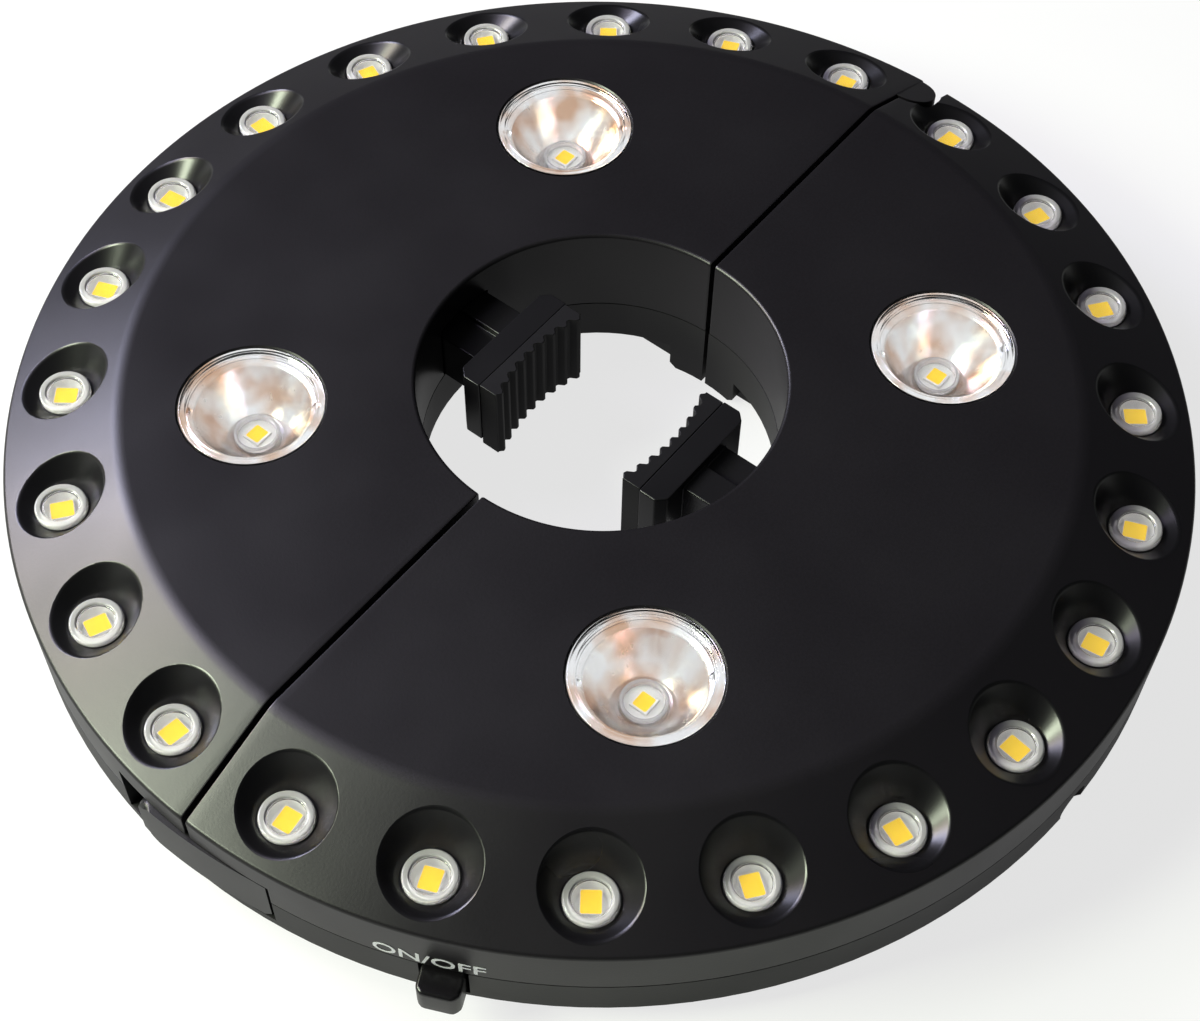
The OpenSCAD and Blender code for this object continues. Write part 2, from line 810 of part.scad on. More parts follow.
module reflectors(side) {
    h = mouth_z - reflector_low;
    steps = 10;
    inner = [for (i = [0 : steps]) [bowl_r(i / steps), reflector_low + h * i / steps]];
    outer = [for (i = [0 : steps - 1]) [bowl_r(i / steps) + reflector_wall, reflector_low + h * i / steps]];
    flange_r = spot_cover_d / 2;
    last = outer[steps - 1];
    color("silver") on_side(side) at_spots() rotate_extrude() polygon(concat(
        [for (i = [0 : steps]) inner[steps - i]],
        [for (i = [0 : steps - 1]) if (outer[i][1] < mouth_z - flange_t) outer[i]],
        [[last[0], mouth_z - flange_t], [flange_r, mouth_z - flange_t], [flange_r, mouth_z]]));
}

module spot_covers(side) {
    r = spot_cover_d / 2;
    color("white", 0.4) on_side(side) at_spots() rotate_extrude() polygon([
        [0, mouth_z], [r, mouth_z], [r, face_z - 0.25], [r - 0.25, face_z], [r - 1, face_z],
        [r - 1.25, face_z - 0.2], [0, face_z - 0.2]]);
}

// ---------- hinge and latch ----------

module hinge_pin() {
    color("silver") at_hinge() translate([0, 0, pin_low]) cylinder(r = pin_r, h = pin_top - pin_low);
}

// The lever's curved plate between its two ends.
module lever_plate(turn) {
    at_lever_pivot() rotate([0, 0, turn]) translate([-lever_pivot[0], -lever_pivot[1], 0]) intersection() {
        difference() {
            translate([0, 0, lever_z0]) cylinder(r = R, h = lever_h);
            translate([0, 0, lever_z0 - 1]) cylinder(r = lever_in_r, h = lever_h + 2);
        }
        translate([-R - 5, -lever_tail, lever_z0]) cube([R, lever_tail + lever_reach + 2, lever_h]);
    }
}

// The lever's outline seen from the rim, its tail at the origin.
module lever_outline() {
    end_r = 2.5;
    tail_cut = 1.5;
    l = lever_tail + lever_reach;
    polygon([[0, tail_cut], [tail_cut, 0], [l - end_r, 0], [l - end_r, lever_h], [0, lever_h]]);
    translate([0, end_r]) square([l, lever_h - 2 * end_r]);
    for (z = [end_r, lever_h - end_r]) translate([l - end_r, z]) circle(end_r, $fn = 32);
}

module latch_lever() {
    color([0.13, 0.13, 0.14]) difference() {
        intersection() {
            union() {
                lever_plate(0);
                lever_plate(lever_lift);
                at_lever_pivot() translate([0, 0, lever_z0]) {
                    cylinder(r = lug_r, h = lever_h);
                    translate([-lug_r - 1, -lug_r, 0]) cube([lug_r + 1, 2 * lug_r, lever_h]);
                }
                translate([-lever_in_r - 1, tooth_y[0], lever_z0 + (lever_h - tooth_h) / 2])
                    linear_extrude(tooth_h) polygon([
                        [0, 0], [tooth_in + 1, 0], [tooth_in + 1, tooth_y[1] - tooth_y[0]],
                        [tooth_in, tooth_y[1] - tooth_y[0] + tooth_nose],
                        [tooth_in - 1, tooth_y[1] - tooth_y[0]], [0, tooth_y[1] - tooth_y[0]]]);
            }
            translate([-R - clear, -lever_tail, lever_z0]) rotate([90, 0, 90])
                linear_extrude(2 * clear) lever_outline();
        }
        at_lever_pivot() cylinder(r = lever_pin_r + pin_play, h = far);
    }
}

module latch_pin() {
    color("silver") at_lever_pivot() translate([0, 0, back_z + 0.5])
        cylinder(r = lever_pin_r, h = block_top - 0.2 - back_z - 0.5);
}

// ---------- power button ----------

module power_button() {
    out_r = R + button_out;
    w = button_w;
    c = 1;
    color([0.1, 0.1, 0.11]) at_button() {
        translate([0, 0, button_z0]) linear_extrude(button_h) polygon([
            [button_in_r, -w / 2], [out_r - c, -w / 2], [out_r, -w / 2 + c], [out_r, w / 2 - c],
            [out_r - c, w / 2], [button_in_r, w / 2]]);
        translate([button_in_r, -button_flange_w / 2, button_z0])
            cube([button_flange_t, button_flange_w, button_h]);
    }
}

module button_plunger() {
    color("white") at_button() translate([button_in_r - plunger_l, 0, (button_z0 + button_z1) / 2])
        rotate([0, 90, 0]) cylinder(r = plunger_r, h = plunger_l);
}

module tact_switch() {
    z = (button_z0 + button_z1) / 2;
    color("dimgray") at_button() difference() {
        translate([tact_x, -tact_side / 2, z - tact_side / 2])
            cube([tact_t + plunger_in, tact_side, tact_side]);
        translate([tact_x + 0.8, 0, z]) rotate([0, 90, 0]) cylinder(r = plunger_r + tact_gap, h = tact_t);
    }
}

// ---------- pole clamps ----------

// The outline of the rubber jaw: a hollow arc cut into upright teeth.
function jaw_face(x) =
    jaw_tip + sqrt(pow(jaw_arc_r, 2) - x * x) - sqrt(pow(jaw_arc_r, 2) - pow(jaw_w / 2, 2));

module clamp_rubber(side) {
    pitch = jaw_w / jaw_teeth;
    crests = [for (i = [0 : jaw_teeth - 1]) for (s = [0.12, 0.38, 0.62, 0.88])
        let (x = -jaw_w / 2 + (i + s) * pitch, low = s < 0.25 || s > 0.75)
        [x, jaw_face(x) + (low ? tooth_depth : 0)]];
    color([0.16, 0.15, 0.17]) on_side(side) translate([0, 0, jaw_top - jaw_h]) linear_extrude(jaw_h)
        polygon(concat([[-jaw_w / 2, jaw_tip + tooth_depth]], crests,
            [[jaw_w / 2, jaw_tip + tooth_depth], [jaw_w / 2, jaw_back], [-jaw_w / 2, jaw_back]]));
}

// The holder plate, its stem with the stop, and the peg for the spring.
module clamp_slider(side) {
    c = 1.5;
    step_x = side > 0 ? -stem_w / 2 - 1 : 0;
    color([0.12, 0.12, 0.13]) on_side(side) {
        translate([0, 0, jaw_top - holder_h]) linear_extrude(holder_h) polygon([
            [-holder_w / 2, jaw_back], [holder_w / 2, jaw_back],
            [holder_w / 2, holder_back - c], [holder_w / 2 - c, holder_back],
            [-holder_w / 2 + c, holder_back], [-holder_w / 2, holder_back - c]]);
        difference() {
            union() {
                translate([-stem_w / 2, holder_back - 0.5, stem_z0])
                    cube([stem_w, stem_end - holder_back + 0.5, stem_z1 - stem_z0]);
                translate([-stop_w / 2, stop_y, stem_z0]) cube([stop_w, stop_t, stem_z1 - stem_z0]);
            }
            translate([step_x, holder_back, stem_z1 - stem_step])
                cube([stem_w / 2 + 1, stop_y - holder_back, stem_step + 1]);
        }
        translate([0, stem_end - 0.5, stem_mid_z]) rotate([-90, 0, 0]) cylinder(r = peg_r, h = peg_l + 0.5);
    }
}

// A wire wound in one unbroken helix between the stem and the end of the channel.
module clamp_spring(side) {
    r = (spring_d - spring_wire) / 2;
    rings = spring_turns * 8;
    sides = 6;
    rise = (spring_len - spring_wire) / rings;
    pts = [for (i = [0 : rings]) for (j = [0 : sides - 1])
        let (a = i * 45, b = j * 360 / sides, q = r + spring_wire / 2 * cos(b))
        let (y = stem_end + i * rise + spring_wire / 2 * (1 + sin(b)))
        [q * cos(a), y, stem_mid_z + q * sin(a)]];
    walls = [for (i = [0 : rings - 1]) for (j = [0 : sides - 1])
        let (k = (j + 1) % sides, p = i * sides, q = p + sides)
        each [[p + j, q + j, q + k], [p + j, q + k, p + k]]];
    ends = [for (j = [1 : sides - 2]) each
        [[0, j, j + 1], [rings * sides, rings * sides + j + 1, rings * sides + j]]];
    color("silver") on_side(side) polyhedron(pts, concat(walls, ends));
}

// ---------- batteries ----------

module cells(side) {
    color("goldenrod") on_side(side) for (y = cell_ys) translate([cell_x0, y, cell_z]) rotate([0, 90, 0]) {
        cylinder(r = cell_d / 2, h = cell_l - 1);
        cylinder(r = 2.7, h = cell_l);
    }
}

// A plate and a coil's cone at the near end of each cell, and a plate at the far end.
module contacts(side) {
    t = 0.3;
    side_l = 0.7 * cell_d;
    gap = cell_x0 - cavity_x0;
    color("silver") on_side(side) for (y = cell_ys) {
        for (x = [cavity_x0, cavity_x1 - t])
            translate([x, y - side_l / 2, cell_z - side_l / 2]) cube([t, side_l, side_l]);
        translate([cavity_x0 + t / 2, y, cell_z]) rotate([0, 90, 0])
            cylinder(r1 = 0.28 * cell_d, r2 = 0.17 * cell_d, h = gap - t / 2);
    }
}

module battery_door(side) {
    x0 = cavity_x0 - door_seat + door_gap;
    y0 = cavity_y0 - door_seat + door_gap;
    l = cavity_l + 2 * (door_seat - door_gap);
    w = cavity_w + 2 * (door_seat - door_gap);
    grip_l = w / 2;
    ridge_t = 1.2;
    ridge_inset = 6;
    color([0.14, 0.14, 0.15]) on_side(side) difference() {
        union() {
            translate([x0, y0, 0.3]) round_plate(l, w, 1, door_t);
            for (y = [cavity_y0 + ridge_t, cavity_y1 - 2 * ridge_t])
                translate([cavity_x0 + ridge_inset, y, door_t])
                cube([cavity_l - 2 * ridge_inset, ridge_t, ridge_t]);
        }
        for (i = [0 : 4]) translate([x0 + l - 5 - 2 * i, y0 + grip_l / 2, 0]) cube([1, grip_l, 0.7]);
    }
}

// ---------- hanging hooks ----------

module hanging_hook(side) {
    bend_x = hook_pivot_x - hook_l;
    bend_y = hook_y - hook_w / 2 + hook_out_r;
    barrel_r = hook_t / 2;
    color([0.12, 0.12, 0.13]) on_side(side) {
        translate([0, 0, hook_z - hook_t / 2]) linear_extrude(hook_t) {
            translate([bend_x, hook_y - hook_w / 2]) square([hook_l, hook_w]);
            difference() {
                translate([bend_x, bend_y]) circle(hook_out_r);
                translate([bend_x, bend_y]) circle(hook_r);
                translate([bend_x, bend_y - hook_out_r - 1]) square([hook_out_r + 1, 2 * hook_out_r + 2]);
            }
            translate([bend_x, bend_y + hook_r]) square([4, hook_w]);
            translate([bend_x + 4, bend_y + hook_r + hook_w / 2]) circle(hook_w / 2, $fn = 48);
        }
        translate([hook_pivot_x, hook_y - hook_w / 2, hook_z]) rotate([-90, 0, 0])
            cylinder(r = barrel_r, h = hook_w);
        translate([hook_pivot_x, hook_pin_y0, hook_z]) rotate([-90, 0, 0])
            cylinder(r = hook_pin_r, h = hook_pin_y1 - hook_pin_y0);
    }
}

// ---------- screws ----------

module screws(side) {
    color("silver") on_side(side) at_screws() {
        translate([0, 0, screw_seat - screw_head_h]) cylinder(r = screw_head_r, h = screw_head_h);
        translate([0, 0, screw_seat - eps]) cylinder(r = screw_r, h = screw_l + eps);
    }
}

// ---------- nodes ----------

shell_black = [0.14, 0.13, 0.15];
module switch_front_shell() { color(shell_black) front_shell(-1); }
module switch_back_shell() { color(shell_black) back_shell(-1); }
module keeper_front_shell() { color(shell_black) front_shell(1); }
module keeper_back_shell() { color(shell_black) back_shell(1); }

switch_front_shell();
switch_back_shell();
lamp_board(-1);  // switch_lamp_board
small_leds(-1);  // switch_small_leds
small_lenses(-1);  // switch_small_lenses
spot_leds(-1);  // switch_spot_leds
reflectors(-1);  // switch_reflectors
spot_covers(-1);  // switch_spot_covers
power_button();
button_plunger();
tact_switch();
latch_lever();
latch_pin();
clamp_slider(-1);  // switch_clamp_slider
clamp_rubber(-1);  // switch_clamp_rubber
clamp_spring(-1);  // switch_clamp_spring
cells(-1);  // switch_cells
contacts(-1);  // switch_contacts
battery_door(-1);  // switch_battery_door
hanging_hook(-1);  // switch_hook
screws(-1);  // switch_screws
keeper_front_shell();
keeper_back_shell();
lamp_board(1);  // keeper_lamp_board
small_leds(1);  // keeper_small_leds
small_lenses(1);  // keeper_small_lenses
spot_leds(1);  // keeper_spot_leds
reflectors(1);  // keeper_reflectors
spot_covers(1);  // keeper_spot_covers
hinge_pin();
clamp_slider(1);  // keeper_clamp_slider
clamp_rubber(1);  // keeper_clamp_rubber
clamp_spring(1);  // keeper_clamp_spring
cells(1);  // keeper_cells
contacts(1);  // keeper_contacts
battery_door(1);  // keeper_battery_door
hanging_hook(1);  // keeper_hook
screws(1);  // keeper_screws
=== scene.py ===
"""Clip-on light for the pole of a patio umbrella, dressed for a studio picture.

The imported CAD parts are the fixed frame. The front shells, lamps, clamps, hooks, lever and button
are modelled here in place of their CAD parts, and the label is added. Every other part keeps its
shape and gets a finish.
"""

import logging
import math
from dataclasses import dataclass, field
from enum import Enum

import bpy
from mathutils import Matrix, Vector


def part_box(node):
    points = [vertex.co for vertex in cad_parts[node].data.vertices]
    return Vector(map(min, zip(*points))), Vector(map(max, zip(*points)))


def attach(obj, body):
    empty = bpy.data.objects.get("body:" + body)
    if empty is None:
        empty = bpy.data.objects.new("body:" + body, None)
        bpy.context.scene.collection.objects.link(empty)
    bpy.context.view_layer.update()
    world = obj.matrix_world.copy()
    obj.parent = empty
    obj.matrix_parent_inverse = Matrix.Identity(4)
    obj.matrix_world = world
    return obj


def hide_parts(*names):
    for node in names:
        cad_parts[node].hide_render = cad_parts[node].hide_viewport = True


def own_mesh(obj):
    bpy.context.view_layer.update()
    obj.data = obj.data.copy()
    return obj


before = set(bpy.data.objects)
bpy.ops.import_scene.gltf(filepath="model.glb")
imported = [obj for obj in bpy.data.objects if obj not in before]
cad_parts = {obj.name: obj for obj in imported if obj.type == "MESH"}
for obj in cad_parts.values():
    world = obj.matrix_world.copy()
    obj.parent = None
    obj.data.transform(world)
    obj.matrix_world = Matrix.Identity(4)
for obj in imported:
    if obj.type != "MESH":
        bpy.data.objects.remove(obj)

LOG = logging.getLogger("umbrella_light")
MM = 0.001
# Nearly all of a noise lies in this range.
NOISE_SPAN = (0.3, 0.7)
WHITE = (1.0, 1.0, 1.0, 1.0)
# A height above everything, in mm, where a cutter may end.
CLEAR_Z = 40.0
# Corners closer than this, in metres, are one.
WELD = 0.001 * MM

Point = tuple[float, float]
Object = bpy.types.Object
Material = bpy.types.Material
Tree = bpy.types.NodeTree
Socket = bpy.types.NodeSocket
Colour = tuple[float, float, float, float]


class Half(Enum):
    """The two half rings, by the sign of their Y."""

    SWITCH = -1
    KEEPER = 1

    @property
    def label(self) -> str:
        """The name that the half's nodes and bodies start with."""
        return self.name.lower()

    @property
    def body(self) -> str:
        """The body that the half's housing rides on."""
        return f"{self.label}_half"


# ---------------------------------------------------------------- colour and nodes


def linear(code: str) -> Colour:
    """Turns an sRGB hex colour to linear light.

    Args:
        code: the colour, such as "#1a181c".

    Returns:
        Red, green, blue and an alpha of 1.
    """
    parts = [int(code[i : i + 2], 16) / 255 for i in (1, 3, 5)]
    light = [p / 12.92 if p <= 0.04045 else ((p + 0.055) / 1.055) ** 2.4 for p in parts]
    return (light[0], light[1], light[2], 1.0)


def add_node(
    tree: Tree,
    kind: str,
    settings: dict[str, object] | None = None,
    inputs: dict[str | int, object] | None = None,
) -> bpy.types.Node:
    """Adds one node with its settings, its socket values and the links into it.

    Args:
        tree: the tree that gets the node.
        kind: the node's type name.
        settings: attributes of the node.
        inputs: for each input socket, a value or the output socket that feeds it.

    Returns:
        The new node.
    """
    node = tree.nodes.new(kind)
    for name, value in (settings or {}).items():
        setattr(node, name, value)
    for key, value in (inputs or {}).items():
        if isinstance(value, bpy.types.NodeSocket):
            tree.links.new(value, node.inputs[key])
        else:
            node.inputs[key].default_value = value
    return node


def noise(tree: Tree, place: Socket, size_mm: float, detail: float) -> Socket:
    """A noise whose grains are of a real size."""
    inputs = {"Vector": place, "Scale": 1 / (size_mm * MM), "Detail": detail}
    return add_node(tree, "ShaderNodeTexNoise", inputs=inputs).outputs["Fac"]


def spread(
    tree: Tree, value: Socket, start: float, end: float, low: float, high: float
) -> Socket:
    """Maps a value from one range to another."""
    inputs = {"Value": value, "From Min": start, "From Max": end, "To Min": low, "To Max": high}
    return add_node(tree, "ShaderNodeMapRange", inputs=inputs).outputs["Result"]


def blend(tree: Tree, share: Socket, first: Colour, second: Colour) -> Socket:
    """Mixes two colours by a share."""
    inputs = {"Factor": share, "A": first, "B": second}
    return add_node(tree, "ShaderNodeMix", {"data_type": "RGBA"}, inputs).outputs["Result"]


def relief(tree: Tree, height: Socket, strength: float, depth_mm: float) -> Socket:
    """Turns a height to a bump of a real depth."""
    inputs = {"Strength": strength, "Distance": depth_mm * MM, "Height": height}
    return add_node(tree, "ShaderNodeBump", inputs=inputs).outputs["Normal"]


def work_out(tree: Tree, how: str, first: Socket, second: Socket | float) -> Socket:
    """Joins two values by one operation."""
    return add_node(tree, "ShaderNodeMath", {"operation": how}, {0: first, 1: second}).outputs["Value"]


def mixed(tree: Tree, share: Socket, first: Socket, second: Socket) -> Socket:
    """Mixes two shaders by a share."""
    return add_node(tree, "ShaderNodeMixShader", inputs={0: share, 1: first, 2: second}).outputs["Shader"]


def new_material(name: str) -> tuple[Material, Tree, Socket]:
    """Starts a material.

    Args:
        name: the material's name.

    Returns:
        The material, its empty node tree and the place in the object's own coordinates.
    """
    material = bpy.data.materials.new(name)
    material.use_nodes = True
    tree = material.node_tree
    tree.nodes.clear()
    return material, tree, add_node(tree, "ShaderNodeTexCoord").outputs["Object"]


def finish_material(tree: Tree, shader: Socket) -> None:
    """Links a shader to a new output."""
    add_node(tree, "ShaderNodeOutputMaterial", inputs={"Surface": shader})


def principled(tree: Tree, inputs: dict[str | int, object]) -> None:
    """Ends a material with one principled shader."""
    finish_material(tree, add_node(tree, "ShaderNodeBsdfPrincipled", inputs=inputs).outputs["BSDF"])


@dataclass(frozen=True)
class MouldedPlastic:
    """Black ABS or rubber, injection moulded in a tool with a spark-eroded grain.

    The grain gives the eye a dull, even black that turns grey at a low angle, and the flow of the
    melt leaves slightly duller and shinier fields a few centimetres across.
    """

    name: str
    colour: str
    roughness: float
    grain_mm: float = 0.45
    grain_height_mm: float = 0.02
    grain_strength: float = 0.5
    field_mm: float = 28.0
    field_share: float = 0.12
    speck_share: float = 0.25
    specular: float = 0.5

    def make(self) -> Material:
        """Builds the material."""
        material, tree, place = new_material(self.name)
        grain = noise(tree, place, self.grain_mm, 3.0)
        fields = noise(tree, place, self.field_mm, 2.0)
        dull, shiny = self.roughness * (1 + self.field_share), self.roughness * (1 - self.field_share)
        tone = Vector(linear(self.colour)[:3])
        dark, light = tone * (1 - self.speck_share), tone * (1 + self.speck_share)
        principled(
            tree,
            {
                "Base Color": blend(tree, grain, (*dark, 1.0), (*light, 1.0)),
                "Roughness": spread(tree, fields, *NOISE_SPAN, shiny, dull),
                "IOR": 1.5,
                "Specular IOR Level": self.specular,
                "Normal": relief(tree, grain, self.grain_strength, self.grain_height_mm),
            },
        )
        return material


@dataclass(frozen=True)
class ClearPlastic:
    """Clear acrylic, moulded and polished, with a faint waviness from the mould.

    Bright edges and rings show where its surface turns. A share of milk in it scatters light, so
    that what lies below looks paler.
    """

    name: str
    colour: str
    roughness: float = 0.03
    milk: float = 0.0
    wave_mm: float = 2.5
    wave_height_mm: float = 0.01

    def make(self) -> Material:
        """Builds the material."""
        material, tree, place = new_material(self.name)
        waves = noise(tree, place, self.wave_mm, 1.0)
        principled(
            tree,
            {
                "Base Color": linear(self.colour),
                "Roughness": self.roughness,
                "IOR": 1.49,
                "Transmission Weight": 1.0 - self.milk,
                "Normal": relief(tree, waves, 0.3, self.wave_height_mm),
            },
        )
        return material


@dataclass(frozen=True)
class Metal:
    """A bare or vacuum-coated metal, with the fine streaks that drawing or coating leaves.

    In patches a few millimetres across it takes a second colour: on the mirror a painted warm reflection, on
    steel and nickel a slightly different tone.
    """

    name: str
    colour: str
    roughness: float
    thin_colour: str
    patch_mm: float = 6.0
    streak_mm: float = 0.6
    stretch: tuple[float, float, float] = (1.0, 1.0, 0.15)
    streak_height_mm: float = 0.01
    thin_span: Point = (0.42, 0.66)

    def make(self) -> Material:
        """Builds the material."""
        material, tree, place = new_material(self.name)
        turned = add_node(tree, "ShaderNodeMapping", inputs={"Vector": place, "Scale": self.stretch})
        streaks = noise(tree, turned.outputs["Vector"], self.streak_mm, 4.0)
        # Patches of the second colour: a painted warm reflection on the mirror, a random tone on steel and
        # nickel.
        tint_and_reflection = spread(tree, noise(tree, place, self.patch_mm, 2.0), *self.thin_span, 0.0, 1.0)
        principled(
            tree,
            {
                "Base Color": blend(tree, tint_and_reflection, linear(self.colour), linear(self.thin_colour)),
                "Metallic": 1.0,
                "Roughness": spread(tree, streaks, *NOISE_SPAN, self.roughness * 0.7, self.roughness * 1.4),
                "Normal": relief(tree, streaks, 0.4, self.streak_height_mm),
            },
        )
        return material


@dataclass(frozen=True)
class Paste:
    """A dull cast or printed surface with a fine speckle: phosphor, ceramic, solder mask or ink."""

    name: str
    colour: str
    speck_colour: str
    roughness: float
    speck_mm: float = 0.3
    speck_height_mm: float = 0.02
    # An emission in the surface's own colour; on the phosphor it is painted light.
    glow: float = 0.0

    def make(self) -> Material:
        """Builds the material."""
        material, tree, place = new_material(self.name)
        specks = noise(tree, place, self.speck_mm, 3.0)
        principled(
            tree,
            {
                "Base Color": blend(tree, specks, linear(self.colour), linear(self.speck_colour)),
                "Roughness": self.roughness,
                "Normal": relief(tree, specks, 0.3, self.speck_height_mm),
                "Emission Color": linear(self.colour),
                "Emission Strength": self.glow,
            },
        )
        return material


@dataclass
class Finishes:
    """Every finish of the light, made once."""

    face: Material = field(init=False)
    recess: Material = field(init=False)
    back: Material = field(init=False)
    holder: Material = field(init=False)
    jaw: Material = field(init=False)
    button: Material = field(init=False)
    clear: Material = field(init=False)
    cap: Material = field(init=False)
    mirror: Material = field(init=False)
    steel: Material = field(init=False)
    nickel: Material = field(init=False)
    phosphor: Material = field(init=False)
    ceramic: Material = field(init=False)
    mask: Material = field(init=False)
    ink: Material = field(init=False)
    jacket: Material = field(init=False)

    def __post_init__(self) -> None:
        """Makes the materials."""
        self.face = MouldedPlastic("abs_fine_grain", "#151317", 0.37).make()
        # The recess finish is darker than the face: painted shade in the recesses, on a smoother grain.
        self.recess = MouldedPlastic("abs_smooth_recess", "#0d0c0f", 0.3, grain_strength=0.2).make()
        self.back = MouldedPlastic("abs_back_grain", "#151417", 0.48, grain_strength=0.7).make()
        self.holder = MouldedPlastic("nylon_holder", "#0f0e11", 0.36, grain_strength=0.3).make()
        self.jaw = MouldedPlastic("rubber_jaw", "#0e0d10", 0.52, grain_mm=0.7, specular=0.35).make()
        self.button = MouldedPlastic("abs_button", "#0f0e11", 0.28, grain_strength=0.3).make()
        self.clear = ClearPlastic("acrylic_clear", "#fbfcfd").make()
        self.cap = ClearPlastic("acrylic_milky", "#fbf9fb", roughness=0.08, milk=0.35).make()
        coat = {"patch_mm": 8.0, "streak_mm": 1.6, "streak_height_mm": 0.002}
        # The mirror's warm patches are a painted reflection, not a tint of its coat.
        self.mirror = Metal("vacuum_coated_mirror", "#f8f8f8", 0.2, "#d8b295", **coat).make()
        self.steel = Metal("spring_steel", "#b9bcc0", 0.3, "#a9a7a4").make()
        self.nickel = Metal("nickel_plate", "#cfd0cb", 0.22, "#bdbab0").make()
        # The phosphor's glow is painted light, standing in for its fluorescence in daylight while the lamps
        # are off.
        self.phosphor = Paste("phosphor_resin", "#ffd71f", "#ffc400", 0.4, glow=0.3).make()
        self.ceramic = Paste("lamp_case", "#fbfaf8", "#eeecea", 0.4).make()
        self.mask = Paste("white_solder_mask", "#e4e5e4", "#cfd2d2", 0.35, speck_mm=1.0).make()
        self.ink = Paste("pad_printed_ink", "#cfcfd6", "#bcbcc4", 0.5, speck_mm=0.25).make()
        self.jacket = Paste("cell_jacket", "#4a4d52", "#3c3f44", 0.3, speck_mm=2.0).make()

    def for_node(self, name: str) -> Material:
        """The finish of a CAD node that keeps its own shape."""
        table = {
            "back_shell": self.back,
            "front_shell": self.face,
            "lamp_board": self.mask,
            "small_leds": self.phosphor,
            "spot_leds": self.phosphor,
            "small_lenses": self.clear,
            "spot_covers": self.clear,
            "reflectors": self.mirror,
            "clamp_slider": self.holder,
            "clamp_rubber": self.jaw,
            "clamp_spring": self.steel,
            "cells": self.jacket,
            "contacts": self.nickel,
            "battery_door": self.back,
            "hook": self.holder,
            "screws": self.steel,
            "power_button": self.button,
            "button_plunger": self.ceramic,
            "tact_switch": self.ceramic,
            "latch_lever": self.holder,
            "latch_pin": self.steel,
            "hinge_pin": self.steel,
        }
        return table[name.removeprefix("switch_").removeprefix("keeper_")]


# ---------------------------------------------------------------- modelling by hand


def deselect() -> None:
    """Leaves edit mode and selects nothing."""
    if bpy.context.object is not None and bpy.context.object.mode != "OBJECT":
        bpy.ops.object.mode_set(mode="OBJECT")
    bpy.ops.object.select_all(action="DESELECT")


def pick(obj: Object) -> None:
    """Selects one object alone and makes it active."""
    deselect()
    obj.select_set(True)
    bpy.context.view_layer.objects.active = obj


def draw_chain(name: str, points: list[Vector]) -> Object:
    """Draws an open chain of edges and stays in edit mode.

    Args:
        name: the object's name.
        points: the chain's corners, in metres.

    Returns:
        The object, at the origin.
    """
    deselect()
    bpy.ops.mesh.primitive_plane_add(size=MM)
    obj = bpy.context.active_object
    obj.name = name
    bpy.ops.object.mode_set(mode="EDIT")
    bpy.ops.mesh.select_all(action="SELECT")
    bpy.ops.mesh.merge(type="CENTER")
    bpy.ops.transform.translate(value=points[0])
    for before, after in zip(points, points[1:]):
        bpy.ops.mesh.extrude_region_move(TRANSFORM_OT_translate={"value": after - before})
    bpy.ops.mesh.select_all(action="SELECT")
    return obj


def tidy_mesh() -> None:
    """In edit mode, merges what coincides, turns the faces outwards and goes back to object mode."""
    bpy.ops.mesh.select_all(action="SELECT")
    bpy.ops.mesh.remove_doubles(threshold=WELD)
    bpy.ops.mesh.normals_make_consistent(inside=False)
    bpy.ops.object.mode_set(mode="OBJECT")


def lathe(name: str, profile: list[Point], steps: int) -> Object:
    """Turns a closed profile round Z.

    Args:
        name: the object's name.
        profile: its corners as (radius, height), in mm.
        steps: the number of facets round.

    Returns:
        The turned solid, at the origin.
    """
    points = [Vector((r, 0, z)) * MM for r, z in profile]
    obj = draw_chain(name, points + points[:1])
    bpy.ops.mesh.remove_doubles(threshold=WELD)
    bpy.ops.mesh.spin(steps=steps, angle=math.tau, center=(0, 0, 0), axis=(0, 0, 1))
    tidy_mesh()
    return obj


def rod(name: str, radius: float, low: float, high: float, steps: int) -> Object:
    """Models a cylinder on Z between two heights."""
    return lathe(name, [(0, low), (radius, low), (radius, high), (0, high)], steps)


def prism(name: str, outline: list[Point], z0: float, z1: float) -> Object:
    """Raises a plan outline to a solid.

    Args:
        name: the object's name.
        outline: its corners as (x, y), in mm.
        z0: the height of its underside, in mm.
        z1: the height of its top, in mm.

    Returns:
        The solid, at the origin.
    """
    points = [Vector((x, y, z0)) * MM for x, y in outline]
    obj = draw_chain(name, points + points[:1])
    bpy.ops.mesh.remove_doubles(threshold=WELD)
    bpy.ops.mesh.edge_face_add()
    bpy.ops.mesh.extrude_region_move(TRANSFORM_OT_translate={"value": (0, 0, (z1 - z0) * MM)})
    tidy_mesh()
    return obj


def box_outline(x0: float, x1: float, y0: float, y1: float) -> list[Point]:
    """The four corners of a rectangle."""
    return [(x0, y0), (x1, y0), (x1, y1), (x0, y1)]


def rounded(corners: list[tuple[float, float, float]], steps: int = 5) -> list[Point]:
    """Rounds the corners of a closed outline.

    Args:
        corners: each corner as (x, y, radius).
        steps: the number of facets of a round corner.

    Returns:
        The outline's points.
    """
    out: list[Point] = []
    for i, (x, y, r) in enumerate(corners):
        here = Vector((x, y))
        back = (Vector(corners[i - 1][:2]) - here).normalized()
        ahead = (Vector(corners[(i + 1) % len(corners)][:2]) - here).normalized()
        half = back.angle(ahead) / 2
        if r <= 0 or half > math.radians(89.5):
            out.append((x, y))
            continue
        reach = r / math.tan(half)
        centre = here + (back + ahead).normalized() * (r / math.sin(half))
        first, last = here + back * reach - centre, here + ahead * reach - centre
        turn = first.angle_signed(last)
        for k in range(steps + 1):
            arm = first.copy()
            arm.rotate(Matrix.Rotation(-turn * k / steps, 2))
            out.append(tuple(centre + arm))
    return out


